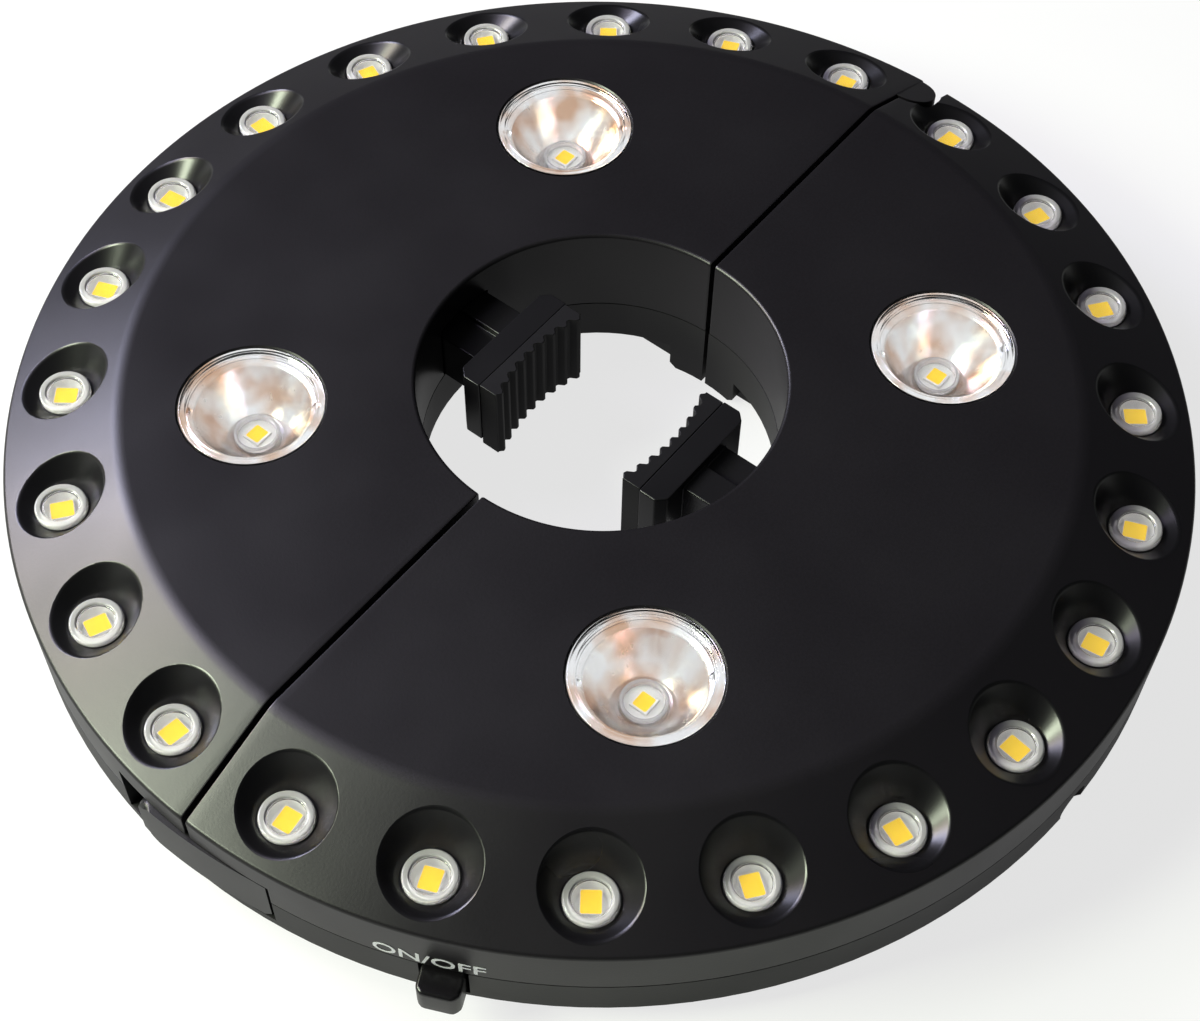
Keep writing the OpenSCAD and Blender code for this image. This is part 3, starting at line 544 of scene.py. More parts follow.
def keep_side(obj: Object, point: tuple[float, float, float], outward: tuple[float, float, float]) -> None:
    """Cuts off what lies on the outward side of a plane and closes the cut.

    Args:
        obj: the solid.
        point: a point of the plane, in mm.
        outward: the direction of the side that goes.
    """
    pick(obj)
    bpy.ops.object.mode_set(mode="EDIT")
    bpy.ops.mesh.select_all(action="SELECT")
    bpy.ops.mesh.bisect(
        plane_co=Vector(point) * MM, plane_no=outward, use_fill=True, clear_outer=True, threshold=1e-7
    )
    bpy.ops.object.mode_set(mode="OBJECT")


def shift(obj: Object, move: Matrix) -> Object:
    """Moves a mesh inside its object, which stays at the origin."""
    obj.data.transform(move)
    obj.data.update()
    return obj


def copied(obj: Object, name: str, move: Matrix) -> Object:
    """Copies an object with its own mesh, moved by a matrix."""
    twin = obj.copy()
    twin.data = obj.data.copy()
    twin.name = name
    bpy.context.collection.objects.link(twin)
    return shift(twin, move)


def joined(objs: list[Object], name: str) -> Object:
    """Joins objects to one."""
    pick(objs[0])
    for obj in objs[1:]:
        obj.select_set(True)
    if len(objs) > 1:
        bpy.ops.object.join()
    objs[0].name = name
    return objs[0]


def carve(target: Object, tool: Object, how: str = "DIFFERENCE") -> None:
    """Applies a Boolean and removes its tool.

    Args:
        target: the solid that changes.
        tool: the solid that cuts it, or that it is joined or cropped with.
        how: the Boolean's operation.
    """
    pick(target)
    cut = target.modifiers.new("cut", "BOOLEAN")
    cut.operation = how
    cut.solver = "EXACT"
    cut.material_mode = "TRANSFER"
    cut.object = tool
    bpy.ops.object.modifier_apply(modifier=cut.name)
    bpy.data.objects.remove(tool)


def soften(obj: Object, width: float, angle: float = 40.0, segments: int = 2) -> None:
    """Rounds the sharp edges by a bevel.

    Args:
        obj: the solid.
        width: the bevel's width, in mm.
        angle: the least turn of an edge that is rounded, in degrees.
        segments: the bevel's facets.
    """
    pick(obj)
    bevel = obj.modifiers.new("edges", "BEVEL")
    bevel.width = width * MM
    bevel.segments = segments
    bevel.limit_method = "ANGLE"
    bevel.angle_limit = math.radians(angle)
    bevel.use_clamp_overlap = True
    bevel.miter_outer = "MITER_ARC"
    bpy.ops.object.modifier_apply(modifier=bevel.name)


def smooth(obj: Object, angle: float = 32.0) -> None:
    """Shades a solid smooth up to an angle, with the large faces deciding.

    Args:
        obj: the solid.
        angle: the turn, in degrees, past which an edge stays sharp.
    """
    pick(obj)
    bpy.ops.object.shade_smooth_by_angle(angle=math.radians(angle))
    weigh = obj.modifiers.new("weigh", "WEIGHTED_NORMAL")
    weigh.keep_sharp = True
    weigh.weight = 80
    bpy.ops.object.modifier_apply(modifier=weigh.name)


def dress(obj: Object, *finishes: Material) -> Object:
    """Gives an object its finishes, in the order of its material slots."""
    obj.data.materials.clear()
    for finish in finishes:
        obj.data.materials.append(finish)
    return obj


def finished(obj: Object, *finishes: Material, angle: float = 40.0) -> Object:
    """Gives an object its finishes and shades it smooth up to an angle in degrees."""
    dress(obj, *finishes)
    smooth(obj, angle)
    return obj


def select_part(obj: Object) -> None:
    """Makes an object active, with nothing of its mesh selected, for a choice of its parts."""
    pick(obj)
    bpy.ops.object.mode_set(mode="EDIT")
    bpy.ops.mesh.select_all(action="DESELECT")
    bpy.ops.object.mode_set(mode="OBJECT")


def merged_copy(node: str, name: str) -> Object:
    """Copies a CAD node's mesh and merges its loose triangles.

    Args:
        node: the CAD node.
        name: the copy's name.

    Returns:
        The copy, with flat faces made whole.
    """
    twin = bpy.data.objects.new(name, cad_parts[node].data.copy())
    bpy.context.collection.objects.link(twin)
    pick(twin)
    bpy.ops.object.mode_set(mode="EDIT")
    bpy.ops.mesh.select_all(action="SELECT")
    bpy.ops.mesh.remove_doubles(threshold=0.002 * MM)
    bpy.ops.mesh.dissolve_limited(angle_limit=math.radians(0.5))
    bpy.ops.object.mode_set(mode="OBJECT")
    return twin


def refined(node: str, name: str, finish: Material, body: str, slot: str, width: float) -> Object:
    """Puts a copy with rounded edges in the place of a CAD node.

    Args:
        node: the CAD node.
        name: the copy's name.
        finish: its finish.
        body: the body that it rides on.
        slot: the name of a material slot, passed on to settle.
        width: the width of the rounded edges, in mm.

    Returns:
        The copy.
    """
    twin = dress(merged_copy(node, name), finish)
    soften(twin, width, angle=38.0)
    smooth(twin)
    return settle(twin, body, slot, node)


def settle(obj: Object, body: str, slot: str, *nodes: str) -> Object:
    """Makes a piece ride on its body in the place of its CAD nodes.

    Args:
        obj: the piece.
        body: the body's name.
        slot: not used.
        nodes: the CAD nodes that it stands for.

    Returns:
        The piece.
    """
    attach(obj, body)
    if nodes:
        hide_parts(*nodes)
    return obj


# ---------------------------------------------------------------- the ring


@dataclass(frozen=True)
class Ring:
    """Sizes that the pieces share, in mm, read from the CAD frame where it holds them."""

    rim_r: float
    face_z: float
    part_z: float
    bore_r: float = 31.0
    margin_w: float = 20.0
    rim_drop: float = 8.0
    seam: float = 0.4
    wall: float = 2.0
    lamp_inset: float = 9.2
    lamps: int = 12
    spot_r: float = 58.0
    hinge_inset: float = 5.5
    knuckle_r: float = 4.7
    knuckle_gap: float = 1.0
    board_z: float = 21.8
    chip_z: float = 24.0
    lever_pivot: Point = (-95.2, -11.8)
    facets: int = 240

    @classmethod
    def from_frame(cls) -> "Ring":
        """Reads the sizes from the keeper's front shell."""
        low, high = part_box("keeper_front_shell")
        return cls(rim_r=-low.x / MM, face_z=high.z / MM, part_z=low.z / MM)

    @property
    def face_r(self) -> float:
        """Radius of the flat middle."""
        return self.rim_r - self.margin_w

    @property
    def rim_z(self) -> float:
        """Height of the rim's upper edge."""
        return self.face_z - self.rim_drop

    @property
    def slope(self) -> float:
        """Tilt of the margin, in radians."""
        return math.atan2(self.rim_drop, self.margin_w)

    @property
    def lamp_r(self) -> float:
        """Radius of the circle of small lamps."""
        return self.rim_r - self.lamp_inset

    @property
    def lamp_z(self) -> float:
        """Height of the slope over the small lamps."""
        return self.face_z - (self.lamp_r - self.face_r) * math.tan(self.slope)

    @property
    def hinge_x(self) -> float:
        """Place of the hinge pin."""
        return self.rim_r - self.hinge_inset

    def lamp_places(self, half: Half) -> list[Matrix]:
        """The turn and shift of each small lamp of a half, from the pole's axis."""
        pitch = math.pi / self.lamps
        out = Matrix.Translation((self.lamp_r * MM, 0, 0))
        return [Matrix.Rotation(half.value * (i + 0.5) * pitch, 4, "Z") @ out for i in range(self.lamps)]

    def spot_places(self, half: Half) -> list[Matrix]:
        """The shift of each spot lamp of a half from the pole's axis. The lamps aren't turned."""
        reach = self.spot_r * MM * math.sqrt(0.5)
        return [Matrix.Translation((side * reach, half.value * reach, 0)) for side in (1, -1)]


@dataclass
class FrontShell:
    """The front cover of one half: flat face, sloping margin, recesses and spot holes."""

    half: Half
    ring: Ring
    finishes: Finishes
    crease_r: float = 7.0
    rim_round: float = 0.9
    bore_round: float = 0.7
    seam_round: float = 0.3
    recess_r: float = 8.0
    recess_depth: float = 3.0
    recess_taper: float = 0.92
    recess_back: float = 0.5
    lip_round: float = 1.3
    pocket_r: float = 4.7
    pocket_z: float = 24.55
    hole_r: float = 4.4
    cup_r: float = 7.4
    cup_foot_r: float = 6.0
    spot_hole_r: float = 12.25
    spot_seat_z: float = 30.1
    spot_bowl_r: float = 10.9
    boss_r: float = 13.9
    boss_z: float = 25.9
    lever_in_r: float = 97.0
    lever_z: Point = (8.5, 19.2)
    lever_gap: float = 0.3
    lever_sweep_r: float = 5.1
    pocket_end_y: float = 15.9
    stem_half_w: float = 6.3
    stem_top_z: float = 26.4
    tooth_box: tuple[float, float, float, float] = (-105, -92.2, 0, 8.2)
    tooth_z: Point = (10.45, 17.25)
    latch_block_x: Point = (-101, -86)
    latch_block_y: Point = (0.2, 18.9)
    latch_block_top: float = 20.2
    hinge_boss_r: float = 7.5
    notch_inset: float = 0.6
    knuckle_round: float = 1.2
    # Keeps the cutters' corners off the facet edges of the shell, where a cut can fail.
    cutter_turn: float = math.radians(1.3)

    def build(self) -> Object:
        """Models the shell and puts it in place of its CAD node."""
        name = f"{self.half.label}_front_cover"
        shell = self._solid(name)
        dress(shell, self.finishes.face, self.finishes.recess)
        carve(shell, self._hollow())
        carve(shell, self._recesses())
        carve(shell, self._spot_holes())
        carve(shell, self._stem_slot())
        carve(shell, self._lever_pocket())
        if self.half is Half.SWITCH:
            carve(shell, self._knuckle_room())
        else:
            carve(shell, self._tooth_slot())
            self._add_knuckle(shell)
        smooth(shell, 30.0)
        return settle(shell, self.half.body, "face_plastic", f"{self.half.label}_front_shell")

    def _profile(self, inset: float) -> list[Point]:
        """The outer profile, or with an inset the inner one, as (radius, height) points."""
        g = self.ring
        if inset == 0:
            return rounded(
                [
                    (g.bore_r, g.part_z, 0),
                    (g.bore_r, g.face_z, self.bore_round),
                    (g.face_r, g.face_z, self.crease_r),
                    (g.rim_r, g.rim_z, self.rim_round),
                    (g.rim_r, g.part_z, 0),
                ],
                6,
            )
        drop = inset / math.cos(g.slope)
        wall_z = g.face_z - (g.rim_r - inset - g.face_r) * math.tan(g.slope) - drop
        flat_r = g.face_r - inset * math.tan(g.slope / 2)
        return [
            (g.bore_r + inset, g.part_z - 1),
            (g.bore_r + inset, g.face_z - inset),
            (flat_r, g.face_z - inset),
            (g.rim_r - inset, wall_z),
            (g.rim_r - inset, g.part_z - 1),
        ]

    def _solid(self, name: str) -> Object:
        """The half ring before anything is cut in it, its seam edges rounded."""
        side = self.half.value
        solid = lathe(name, self._profile(0), self.ring.facets)
        keep_side(solid, (0, side * self.ring.seam, 0), (0, -side, 0))
        soften(solid, self.seam_round, 50.0)
        return solid

    def _hollow(self) -> Object:
        """The space inside the shell, less the cups, bosses and blocks that stand in it."""
        g, side = self.ring, self.half.value
        hollow = lathe("hollow", self._profile(g.wall), 120)
        keep_side(hollow, (0, side * (g.seam + g.wall), 0), (0, -side, 0))
        depth = self.recess_depth + 0.4
        foot_r, r = self.cup_foot_r, self.cup_r
        cup = lathe("cup", [(0, -9), (foot_r, -9), (foot_r, -depth), (r, -depth), (r, -1), (0, -1)], 32)
        shift(cup, self._mouth())
        boss = rod("boss", self.boss_r, self.boss_z, CLEAR_Z, 64)
        hinge = rod("hinge", self.hinge_boss_r, 0, CLEAR_Z, 48)
        solids = [copied(cup, "cup", m) for m in g.lamp_places(self.half)]
        solids += [copied(boss, "boss", m) for m in g.spot_places(self.half)]
        shift(hinge, Matrix.Translation((g.hinge_x * MM, 0, 0)))
        for tool in (cup, boss):
            bpy.data.objects.remove(tool)
        carve(hollow, joined(solids, "cups"))
        carve(hollow, hinge)
        near, far = (side * y for y in self.latch_block_y)
        block = prism("block", box_outline(*self.latch_block_x, near, far), 0, self.latch_block_top)
        carve(hollow, block)
        return hollow

    def _mouth(self) -> Matrix:
        """From a recess's own frame, with Z square to the slope, to the frame of its lamp."""
        g = self.ring
        z = g.lamp_z + self.recess_back * math.tan(g.slope)
        return Matrix.Translation((-self.recess_back * MM, 0, z * MM)) @ Matrix.Rotation(g.slope, 4, "Y")

    def _recesses(self) -> Object:
        """The cutters of all recesses of the half: a rounded lip, a cone down to the lens and its well."""
        wall = math.atan2(1, self.recess_taper)
        reach = self.lip_round * math.tan(wall / 2)
        centre = (self.recess_r + reach, -self.lip_round)
        flat = math.radians(8)
        steps = 7
        lip = []
        for k in range(steps + 1):
            a = wall + (flat - wall) * k / steps
            lip.append((centre[0] - self.lip_round * math.sin(a), centre[1] + self.lip_round * math.cos(a)))
        far = 2.0
        end = (lip[-1][0] + far, lip[-1][1] + far * math.tan(flat))
        foot = [(0, -self.recess_depth), (self.pocket_r, -self.recess_depth)]
        cutter = lathe("recess", foot + lip + [end, (end[0], 5), (0, 5)], 72)
        shift(cutter, Matrix.Rotation(self.cutter_turn, 4, "Z"))
        self._level_foot(cutter)
        shift(cutter, self._mouth())
        well = rod("well", self.hole_r, self.ring.board_z - 1, self.ring.lamp_z, 48)
        shift(well, Matrix.Rotation(self.cutter_turn / 2, 4, "Z"))
        # The recess walls take the recess finish, whose darker colour is painted shade.
        for tool in (cutter, well):
            dress(tool, self.finishes.face, self.finishes.recess)
            for face in tool.data.polygons:
                face.material_index = 1
        carve(cutter, well, "UNION")
        tools = [copied(cutter, "recess", m) for m in self.ring.lamp_places(self.half)]
        bpy.data.objects.remove(cutter)
        return joined(tools, "recesses")

    def _level_foot(self, cutter: Object) -> None:
        """Turns and moves the foot of a recess's cutter level, to the edge of its lens.

        Args:
            cutter: the cutter in the recess's own frame.
        """
        target = self._mouth().inverted() @ Vector((0, 0, self.pocket_z * MM))
        start = Vector((0, 0, -self.recess_depth * MM))
        select_part(cutter)
        for v in cutter.data.vertices:
            v.select = v.co.z < start.z + WELD
        bpy.ops.object.mode_set(mode="EDIT")
        bpy.ops.transform.rotate(value=self.ring.slope, orient_axis="Y", center_override=start)
        bpy.ops.transform.translate(value=target - start)
        bpy.ops.object.mode_set(mode="OBJECT")

    def _spot_holes(self) -> Object:
        """The cutters of both spot lamps."""
        bowl_r, hole_r, bevel_r = self.spot_bowl_r, self.spot_hole_r, self.spot_hole_r + 0.3
        seat_z, face_z = self.spot_seat_z, self.ring.face_z
        low = [(0, 20), (bowl_r, 20), (bowl_r, seat_z), (hole_r, seat_z), (hole_r, face_z - 0.25)]
        cutter = lathe("spot", [*low, (bevel_r, face_z + 0.05), (bevel_r, CLEAR_Z), (0, CLEAR_Z)], 96)
        shift(cutter, Matrix.Rotation(self.cutter_turn, 4, "Z"))
        tools = [copied(cutter, "spot", m) for m in self.ring.spot_places(self.half)]
        bpy.data.objects.remove(cutter)
        return joined(tools, "spots")

    def _stem_slot(self) -> Object:
        """The opening in the bore for the clamp's stem."""
        side = self.half.value
        w, z = self.stem_half_w, self.ring.part_z - 1
        return prism("slot", box_outline(-w, w, side * 25, side * 34), z, self.stem_top_z)

    def _lever_pocket(self) -> Object:
        """The pocket of the latch lever."""
        z0, z1 = self.lever_z[0] - self.lever_gap, self.lever_z[1] + self.lever_gap
        r0, r1 = self.lever_in_r - self.lever_gap, self.ring.rim_r + 6
        band = lathe("band", [(r0, z0), (r1, z0), (r1, z1), (r0, z1)], 360)
        keep_side(band, (0, self.ring.lever_pivot[1], 0), (0, -1, 0))
        keep_side(band, (0, self.pocket_end_y, 0), (0, 1, 0))
        keep_side(band, (0, 0, 0), (1, 0, 0))
        if self.half is Half.KEEPER:
            return band
        drum = rod("drum", self.lever_sweep_r, z0, z1, 48)
        shift(drum, Matrix.Translation((self.ring.lever_pivot[0] * MM, self.ring.lever_pivot[1] * MM, 0)))
        carve(band, drum, "UNION")
        return band

    def _tooth_slot(self) -> Object:
        """The keeper's slot for the lever's tooth."""
        return prism("tooth", box_outline(*self.tooth_box), *self.tooth_z)

    def _knuckle_room(self) -> Object:
        """The room for the keeper's knuckle in the switch half."""
        g, low = self.ring, 5
        r = g.knuckle_r + g.knuckle_gap
        notch = r - self.notch_inset
        room = prism("room", box_outline(g.hinge_x, g.rim_r + 5, -notch, notch), low, CLEAR_Z)
        drum = rod("drum", r, low, CLEAR_Z, 64)
        shift(drum, Matrix.Translation((g.hinge_x * MM, 0, 0)))
        carve(room, drum, "UNION")
        return room

    def _add_knuckle(self, shell: Object) -> None:
        """The keeper's knuckle, rounded down to the rim and a hair below the shell's own faces."""
        g, hair = self.ring, 0.05
        low = g.part_z + hair
        envelope = lathe("envelope", [(r - hair, z - hair) for r, z in self._profile(0)], g.facets)
        drum = rod("drum", g.knuckle_r, low, CLEAR_Z, 64)
        shift(drum, Matrix.Translation((g.hinge_x * MM, 0, 0)))
        keep_side(drum, (0, g.seam + 0.8, 0), (0, 1, 0))
        carve(drum, envelope, "INTERSECT")
        soften(drum, self.knuckle_round, 30.0, 4)
        dress(drum, self.finishes.face, self.finishes.recess)
        carve(shell, drum, "UNION")


# ---------------------------------------------------------------- lamps


@dataclass(frozen=True)
class Package:
    """A surface-mounted lamp package: a white case with a shallow well full of phosphor resin."""

    finishes: Finishes
    length: float = 4.0
    width: float = 3.4
    border: float = 0.12
    well: float = 0.22

    def build(self, low: float, top: float) -> tuple[Object, Object]:
        """Models the package.

        Args:
            low: the height of its underside, in mm.
            top: the height of its top, in mm.

        Returns:
            The case and the resin in its well.
        """
        x, y, b = self.length / 2, self.width / 2, self.border
        case = prism("case", box_outline(-x, x, -y, y), low, top)
        hollow = [(-x + b, -y + b, 0.3), (x - b, -y + b, 0.3), (x - b, y - b, 0.3), (-x + b, y - b, 0.3)]
        outline = rounded(hollow, 3)
        carve(case, prism("well", outline, top - self.well, top + 1))
        soften(case, 0.06, 40.0)
        finished(case, self.finishes.ceramic, angle=32.0)
        resin = prism("resin", outline, top - self.well + 0.01, top - 0.03)
        soften(resin, 0.05, 60.0)
        return case, finished(resin, self.finishes.phosphor, angle=32.0)


@dataclass
class SmallLamp:
    """One small lamp: a clear cap over a package that stands in a white dish."""

    ring: Ring
    finishes: Finishes
    lens_r: float = 4.3
    lens_top: float = 25.5
    flange_r: float = 4.9
    flange_z: float = 22.3
    dish_r: float = 3.5
    dish_foot_r: float = 2.5
    dish_z: Point = (22.7, 24.3)

    def build(self, half: Half) -> None:
        """Models one lamp and copies it round the half."""
        dish = self._dish()
        case, resin = Package(self.finishes).build(self.dish_z[0] - 0.1, self.ring.chip_z)
        parts = (
            (self._cap(), "cap", "clear_plastic", "small_lenses"),
            (dish, "dish", "lamp_package", "small_leds"),
            (case, "case", "lamp_package", "small_leds"),
            (resin, "resin", "lamp_package", "small_leds"),
        )
        for i, place in enumerate(self.ring.lamp_places(half)):
            for part, word, slot, node in parts:
                name = f"{half.label}_lamp_{i + 1:02d}_{word}"
                settle(copied(part, name, place), half.body, slot, f"{half.label}_{node}")
        for part, *_ in parts:
            bpy.data.objects.remove(part)

    def _cap(self) -> Object:
        """The clear cap, with a raised ring on its top and a flange below."""
        r, top = self.lens_r, self.lens_top
        corners = [
            (0, top - 0.65, 0),
            (r - 1.3, top - 0.65, 0.4),
            (r - 0.75, top - 1.6, 0.3),
            (r - 0.75, self.ring.board_z, 0),
            (self.flange_r, self.ring.board_z, 0),
            (self.flange_r, self.flange_z, 0.1),
            (r, self.flange_z, 0.1),
            (r, top, 0.35),
            (r - 1.0, top, 0.25),
            (r - 1.3, top - 0.3, 0.2),
            (0, top - 0.3, 0),
        ]
        cap = lathe("cap", rounded(corners, 4), 48)
        dress(cap, self.finishes.clear, self.finishes.cap)
        for face in cap.data.polygons:
            face.material_index = int(math.hypot(face.center.x, face.center.y) > (r - 1.2) * MM)
        smooth(cap, 40.0)
        return cap

    def _dish(self) -> Object:
        """The white dish that the package stands in."""
        low, high = self.dish_z
        corners = [
            (0, self.ring.board_z, 0),
            (self.dish_r, self.ring.board_z, 0),
            (self.dish_r, high, 0.12),
            (self.dish_r - 0.35, high, 0.12),
            (self.dish_foot_r, low, 0.4),
            (0, low, 0),
        ]
        return finished(lathe("dish", rounded(corners, 4), 40), self.finishes.ceramic)


@dataclass
class SpotLamp:
    """One spot lamp: clear cover, mirror-coated bowl, and at its foot a package in a ringed dish."""

    ring: Ring
    finishes: Finishes
    cover_r: float = 12.1
    cover_t: float = 1.6
    flange_t: float = 0.8
    mouth_r: float = 10.0
    throat_r: float = 3.6
    bowl_low: float = 23.0
    skin: float = 0.8
    notch_r: float = 0.8
    notch_deg: float = 132.0

    def build(self, half: Half) -> None:
        """Models one spot lamp and copies it to both places of the half."""
        case, resin = Package(self.finishes, 3.5, 3.3, 0.34).build(self.ring.chip_z - 0.7, self.ring.chip_z)
        parts = (
            (self._cover(), "cover", "clear_plastic", "spot_covers"),
            (self._bowl(), "bowl", "metallized_plastic", "reflectors"),
            (self._dish(), "dish", "lamp_package", "spot_leds"),
            (self._collar(), "collar", "clear_plastic", "spot_leds"),
            (case, "case", "lamp_package", "spot_leds"),
            (resin, "resin", "lamp_package", "spot_leds"),
        )
        for i, place in enumerate(self.ring.spot_places(half)):
            for part, word, slot, node in parts:
                name = f"{half.label}_spot_{i + 1}_{word}"
                settle(copied(part, name, place), half.body, slot, f"{half.label}_{node}")
        for part, *_ in parts:
            bpy.data.objects.remove(part)

    def _cover(self) -> Object:
        """The clear disc, a little sunk inside a raised rim."""
        top, low, r = self.ring.face_z, self.ring.face_z - self.cover_t, self.cover_r
        corners = [
            (0, low, 0),
            (r, low, 0.1),
            (r, top, 0.35),
            (r - 1.1, top, 0.3),
            (r - 1.5, top - 0.35, 0.25),
            (0, top - 0.35, 0),
        ]
        return finished(lathe("cover", rounded(corners, 4), 96), self.finishes.clear)

    def _bowl(self) -> Object:
        """The mirror bowl, a paraboloid whose mouth meets the flange, with a notch on either side."""
        mouth_z = self.ring.face_z - self.cover_t - 0.02
        steps = 18

        def radius(share: float) -> float:
            """Radius of the bowl at a share of its height."""
            return math.sqrt(self.throat_r**2 * (1 - share) + self.mouth_r**2 * share)

        rise = (mouth_z - self.bowl_low) / steps
        inner = [(radius(i / steps), self.bowl_low + rise * i) for i in range(steps)]
        outer = [(r + self.skin, z) for r, z in inner if z < mouth_z - self.flange_t]
        flange = [
            (self.mouth_r, mouth_z - 0.35),
            (self.mouth_r + 0.3, mouth_z - 0.1),
            (self.mouth_r + 0.7, mouth_z),
            (self.cover_r - 0.15, mouth_z),
            (self.cover_r - 0.15, mouth_z - self.flange_t),
            (outer[-1][0], mouth_z - self.flange_t),
        ]
        bowl = lathe("bowl", inner + flange + outer[::-1], 96)
        for turn in (self.notch_deg, self.notch_deg + 180):
            notch = rod("notch", self.notch_r, mouth_z - 0.6, CLEAR_Z, 24)
            out = Matrix.Translation(((self.mouth_r + 0.5) * MM, 0, 0))
            carve(bowl, shift(notch, Matrix.Rotation(math.radians(turn), 4, "Z") @ out))
        return finished(bowl, self.finishes.mirror, angle=45.0)

    def _dish(self) -> Object:
        """The white foot of the package."""
        r, top = self.throat_r - 0.2, self.ring.chip_z - 0.6
        corners = [(0, self.ring.board_z, 0), (r, self.ring.board_z, 0), (r, top, 0.15), (0, top, 0)]
        return finished(lathe("dish", rounded(corners, 3), 48), self.finishes.ceramic)

    def _collar(self) -> Object:
        """The clear raised ring round the package."""
        r, low, top = self.throat_r + 0.3, self.ring.chip_z - 0.62, self.ring.chip_z + 0.5
        bore_r = r - 0.7
        outside = [(r, low + 0.4, 0.1), (r, top, 0.3)]
        corners = [*outside, (bore_r, top, 0.3), (bore_r, low, 0), (r - 0.4, low, 0)]
        return finished(lathe("collar", rounded(corners, 4), 48), self.finishes.cap)


# ---------------------------------------------------------------- clamps


@dataclass
class Clamp:
    """One pole clamp: its holder and toothed jaw with softened edges, and the spring behind them."""

    half: Half
    finishes: Finishes
    travel: float = 7.0

    def build(self) -> None:
        """Models the holder, the jaw and the spring."""
        label = self.half.label
        body, slider, rubber = f"{label}_clamp", f"{label}_clamp_slider", f"{label}_clamp_rubber"
        refined(slider, f"{label}_holder", self.finishes.holder, body, "holder_plastic", 0.3)
        refined(rubber, f"{label}_jaw", self.finishes.jaw, body, "jaw_rubber", 0.15)
        self._spring()

    def _spring(self) -> Object:
        """The wound wire, a merged copy of its CAD part that rides on the half."""
        label = self.half.label
        node = f"{label}_clamp_spring"
        spring = merged_copy(node, f"{label}_wound_spring")
        dress(spring, self.finishes.steel)
        smooth(spring, 60.0)
        settle(spring, self.half.body, "spring_steel", node)
        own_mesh(spring)
        return spring


# ---------------------------------------------------------------- latch and button


@dataclass
class Lever:
    """The latch lever over the seam, its free end rounded, with the fine line that its mould leaves."""

    ring: Ring
    finishes: Finishes
    lift_deg: float = 3.0
    corner_r: float = 1.0
    line_z: float = 13.5
    line_depth: float = 0.1
    end_reach: float = 2.6
    corner_turn_deg: float = 60.0

    def build(self) -> Object:
        """Models the lever on a merged copy of its CAD part."""
        lever = merged_copy("latch_lever", "lever")
        self._round_corner(lever)
        soften(lever, 0.3, 38.0)
        inner, outer, z = self.ring.rim_r - self.line_depth, self.ring.rim_r + 2, self.line_z
        groove = lathe("groove", [(inner, z), (outer, z - 0.1), (outer, z + 0.3), (inner, z + 0.1)], 240)
        out = Matrix.Translation((self.ring.lever_pivot[0] * MM, self.ring.lever_pivot[1] * MM, 0))
        shift(groove, out @ Matrix.Rotation(math.radians(self.lift_deg), 4, "Z") @ out.inverted())
        carve(lever, groove)
        dress(lever, self.finishes.holder)
        smooth(lever)
        return settle(lever, "latch", "holder_plastic", "latch_lever")

    def _round_corner(self, lever: Object) -> None:
        """Rounds the outer upright edge of the free end."""
        select_part(lever)
        mesh = lever.data
        least_y = max(v.co.y for v in mesh.vertices) - self.end_reach * MM
        least_r = self.ring.rim_r * MM
        for edge in mesh.edges:
            ends = [mesh.vertices[i].co for i in edge.vertices]
            at_end = all(e.y > least_y and math.hypot(e.x, e.y) > least_r for e in ends)
            faces = [f for f in mesh.polygons if edge.key in f.edge_keys]
            least_turn = math.radians(self.corner_turn_deg)
            sharp = len(faces) == 2 and faces[0].normal.angle(faces[1].normal) > least_turn
            edge.select = at_end and sharp
        bpy.ops.object.mode_set(mode="EDIT")
        bpy.ops.mesh.select_mode(type="EDGE")
        bpy.ops.mesh.bevel(offset=self.corner_r * MM, segments=4, affect="EDGES")
        bpy.ops.mesh.select_mode(type="VERT")
        bpy.ops.object.mode_set(mode="OBJECT")


# ---------------------------------------------------------------- label


@dataclass
class SwitchLabel:
    """The words over the button, pad printed on the rim in white."""

    ring: Ring
    finishes: Finishes
    words: str = "ON/OFF"
    start_deg: float = -161.2
    end_deg: float = -151.2
    low_z: float = 15.1
    letter_h: float = 2.9
    ink_t: float = 0.04
    stroke_growth: float = 0.012

    def build(self) -> Object:
        """Sets the words flat, makes them a mesh and bends it round the rim."""
        deselect()
        bpy.ops.object.text_add()
        text = bpy.context.active_object
        text.name = "button_label"
        text.data.body = self.words
        text.data.extrude = self.ink_t * MM / 2
        text.data.offset = self.stroke_growth
        text.data.resolution_u = 6
        bpy.ops.object.convert(target="MESH")
        mesh = text.data
        xs = [v.co.x for v in mesh.vertices]
        ys = [v.co.y for v in mesh.vertices]
        x0, x1, y0, y1 = min(xs), max(xs), min(ys), max(ys)
        z_mid = sum(v.co.z for v in mesh.vertices) / len(mesh.vertices)
        for v in mesh.vertices:
            turn = math.radians(self.start_deg + (self.end_deg - self.start_deg) * (v.co.x - x0) / (x1 - x0))
            r = (self.ring.rim_r + self.ink_t) * MM + (v.co.z - z_mid)
            z = (self.low_z + self.letter_h * (v.co.y - y0) / (y1 - y0)) * MM
            v.co = Vector((r * math.cos(turn), r * math.sin(turn), z))
        pick(text)
        bpy.ops.object.mode_set(mode="EDIT")
        tidy_mesh()
        dress(text, self.finishes.ink)
        return settle(text, Half.SWITCH.body, "white_plastic")


# ---------------------------------------------------------------- camera, light and floor


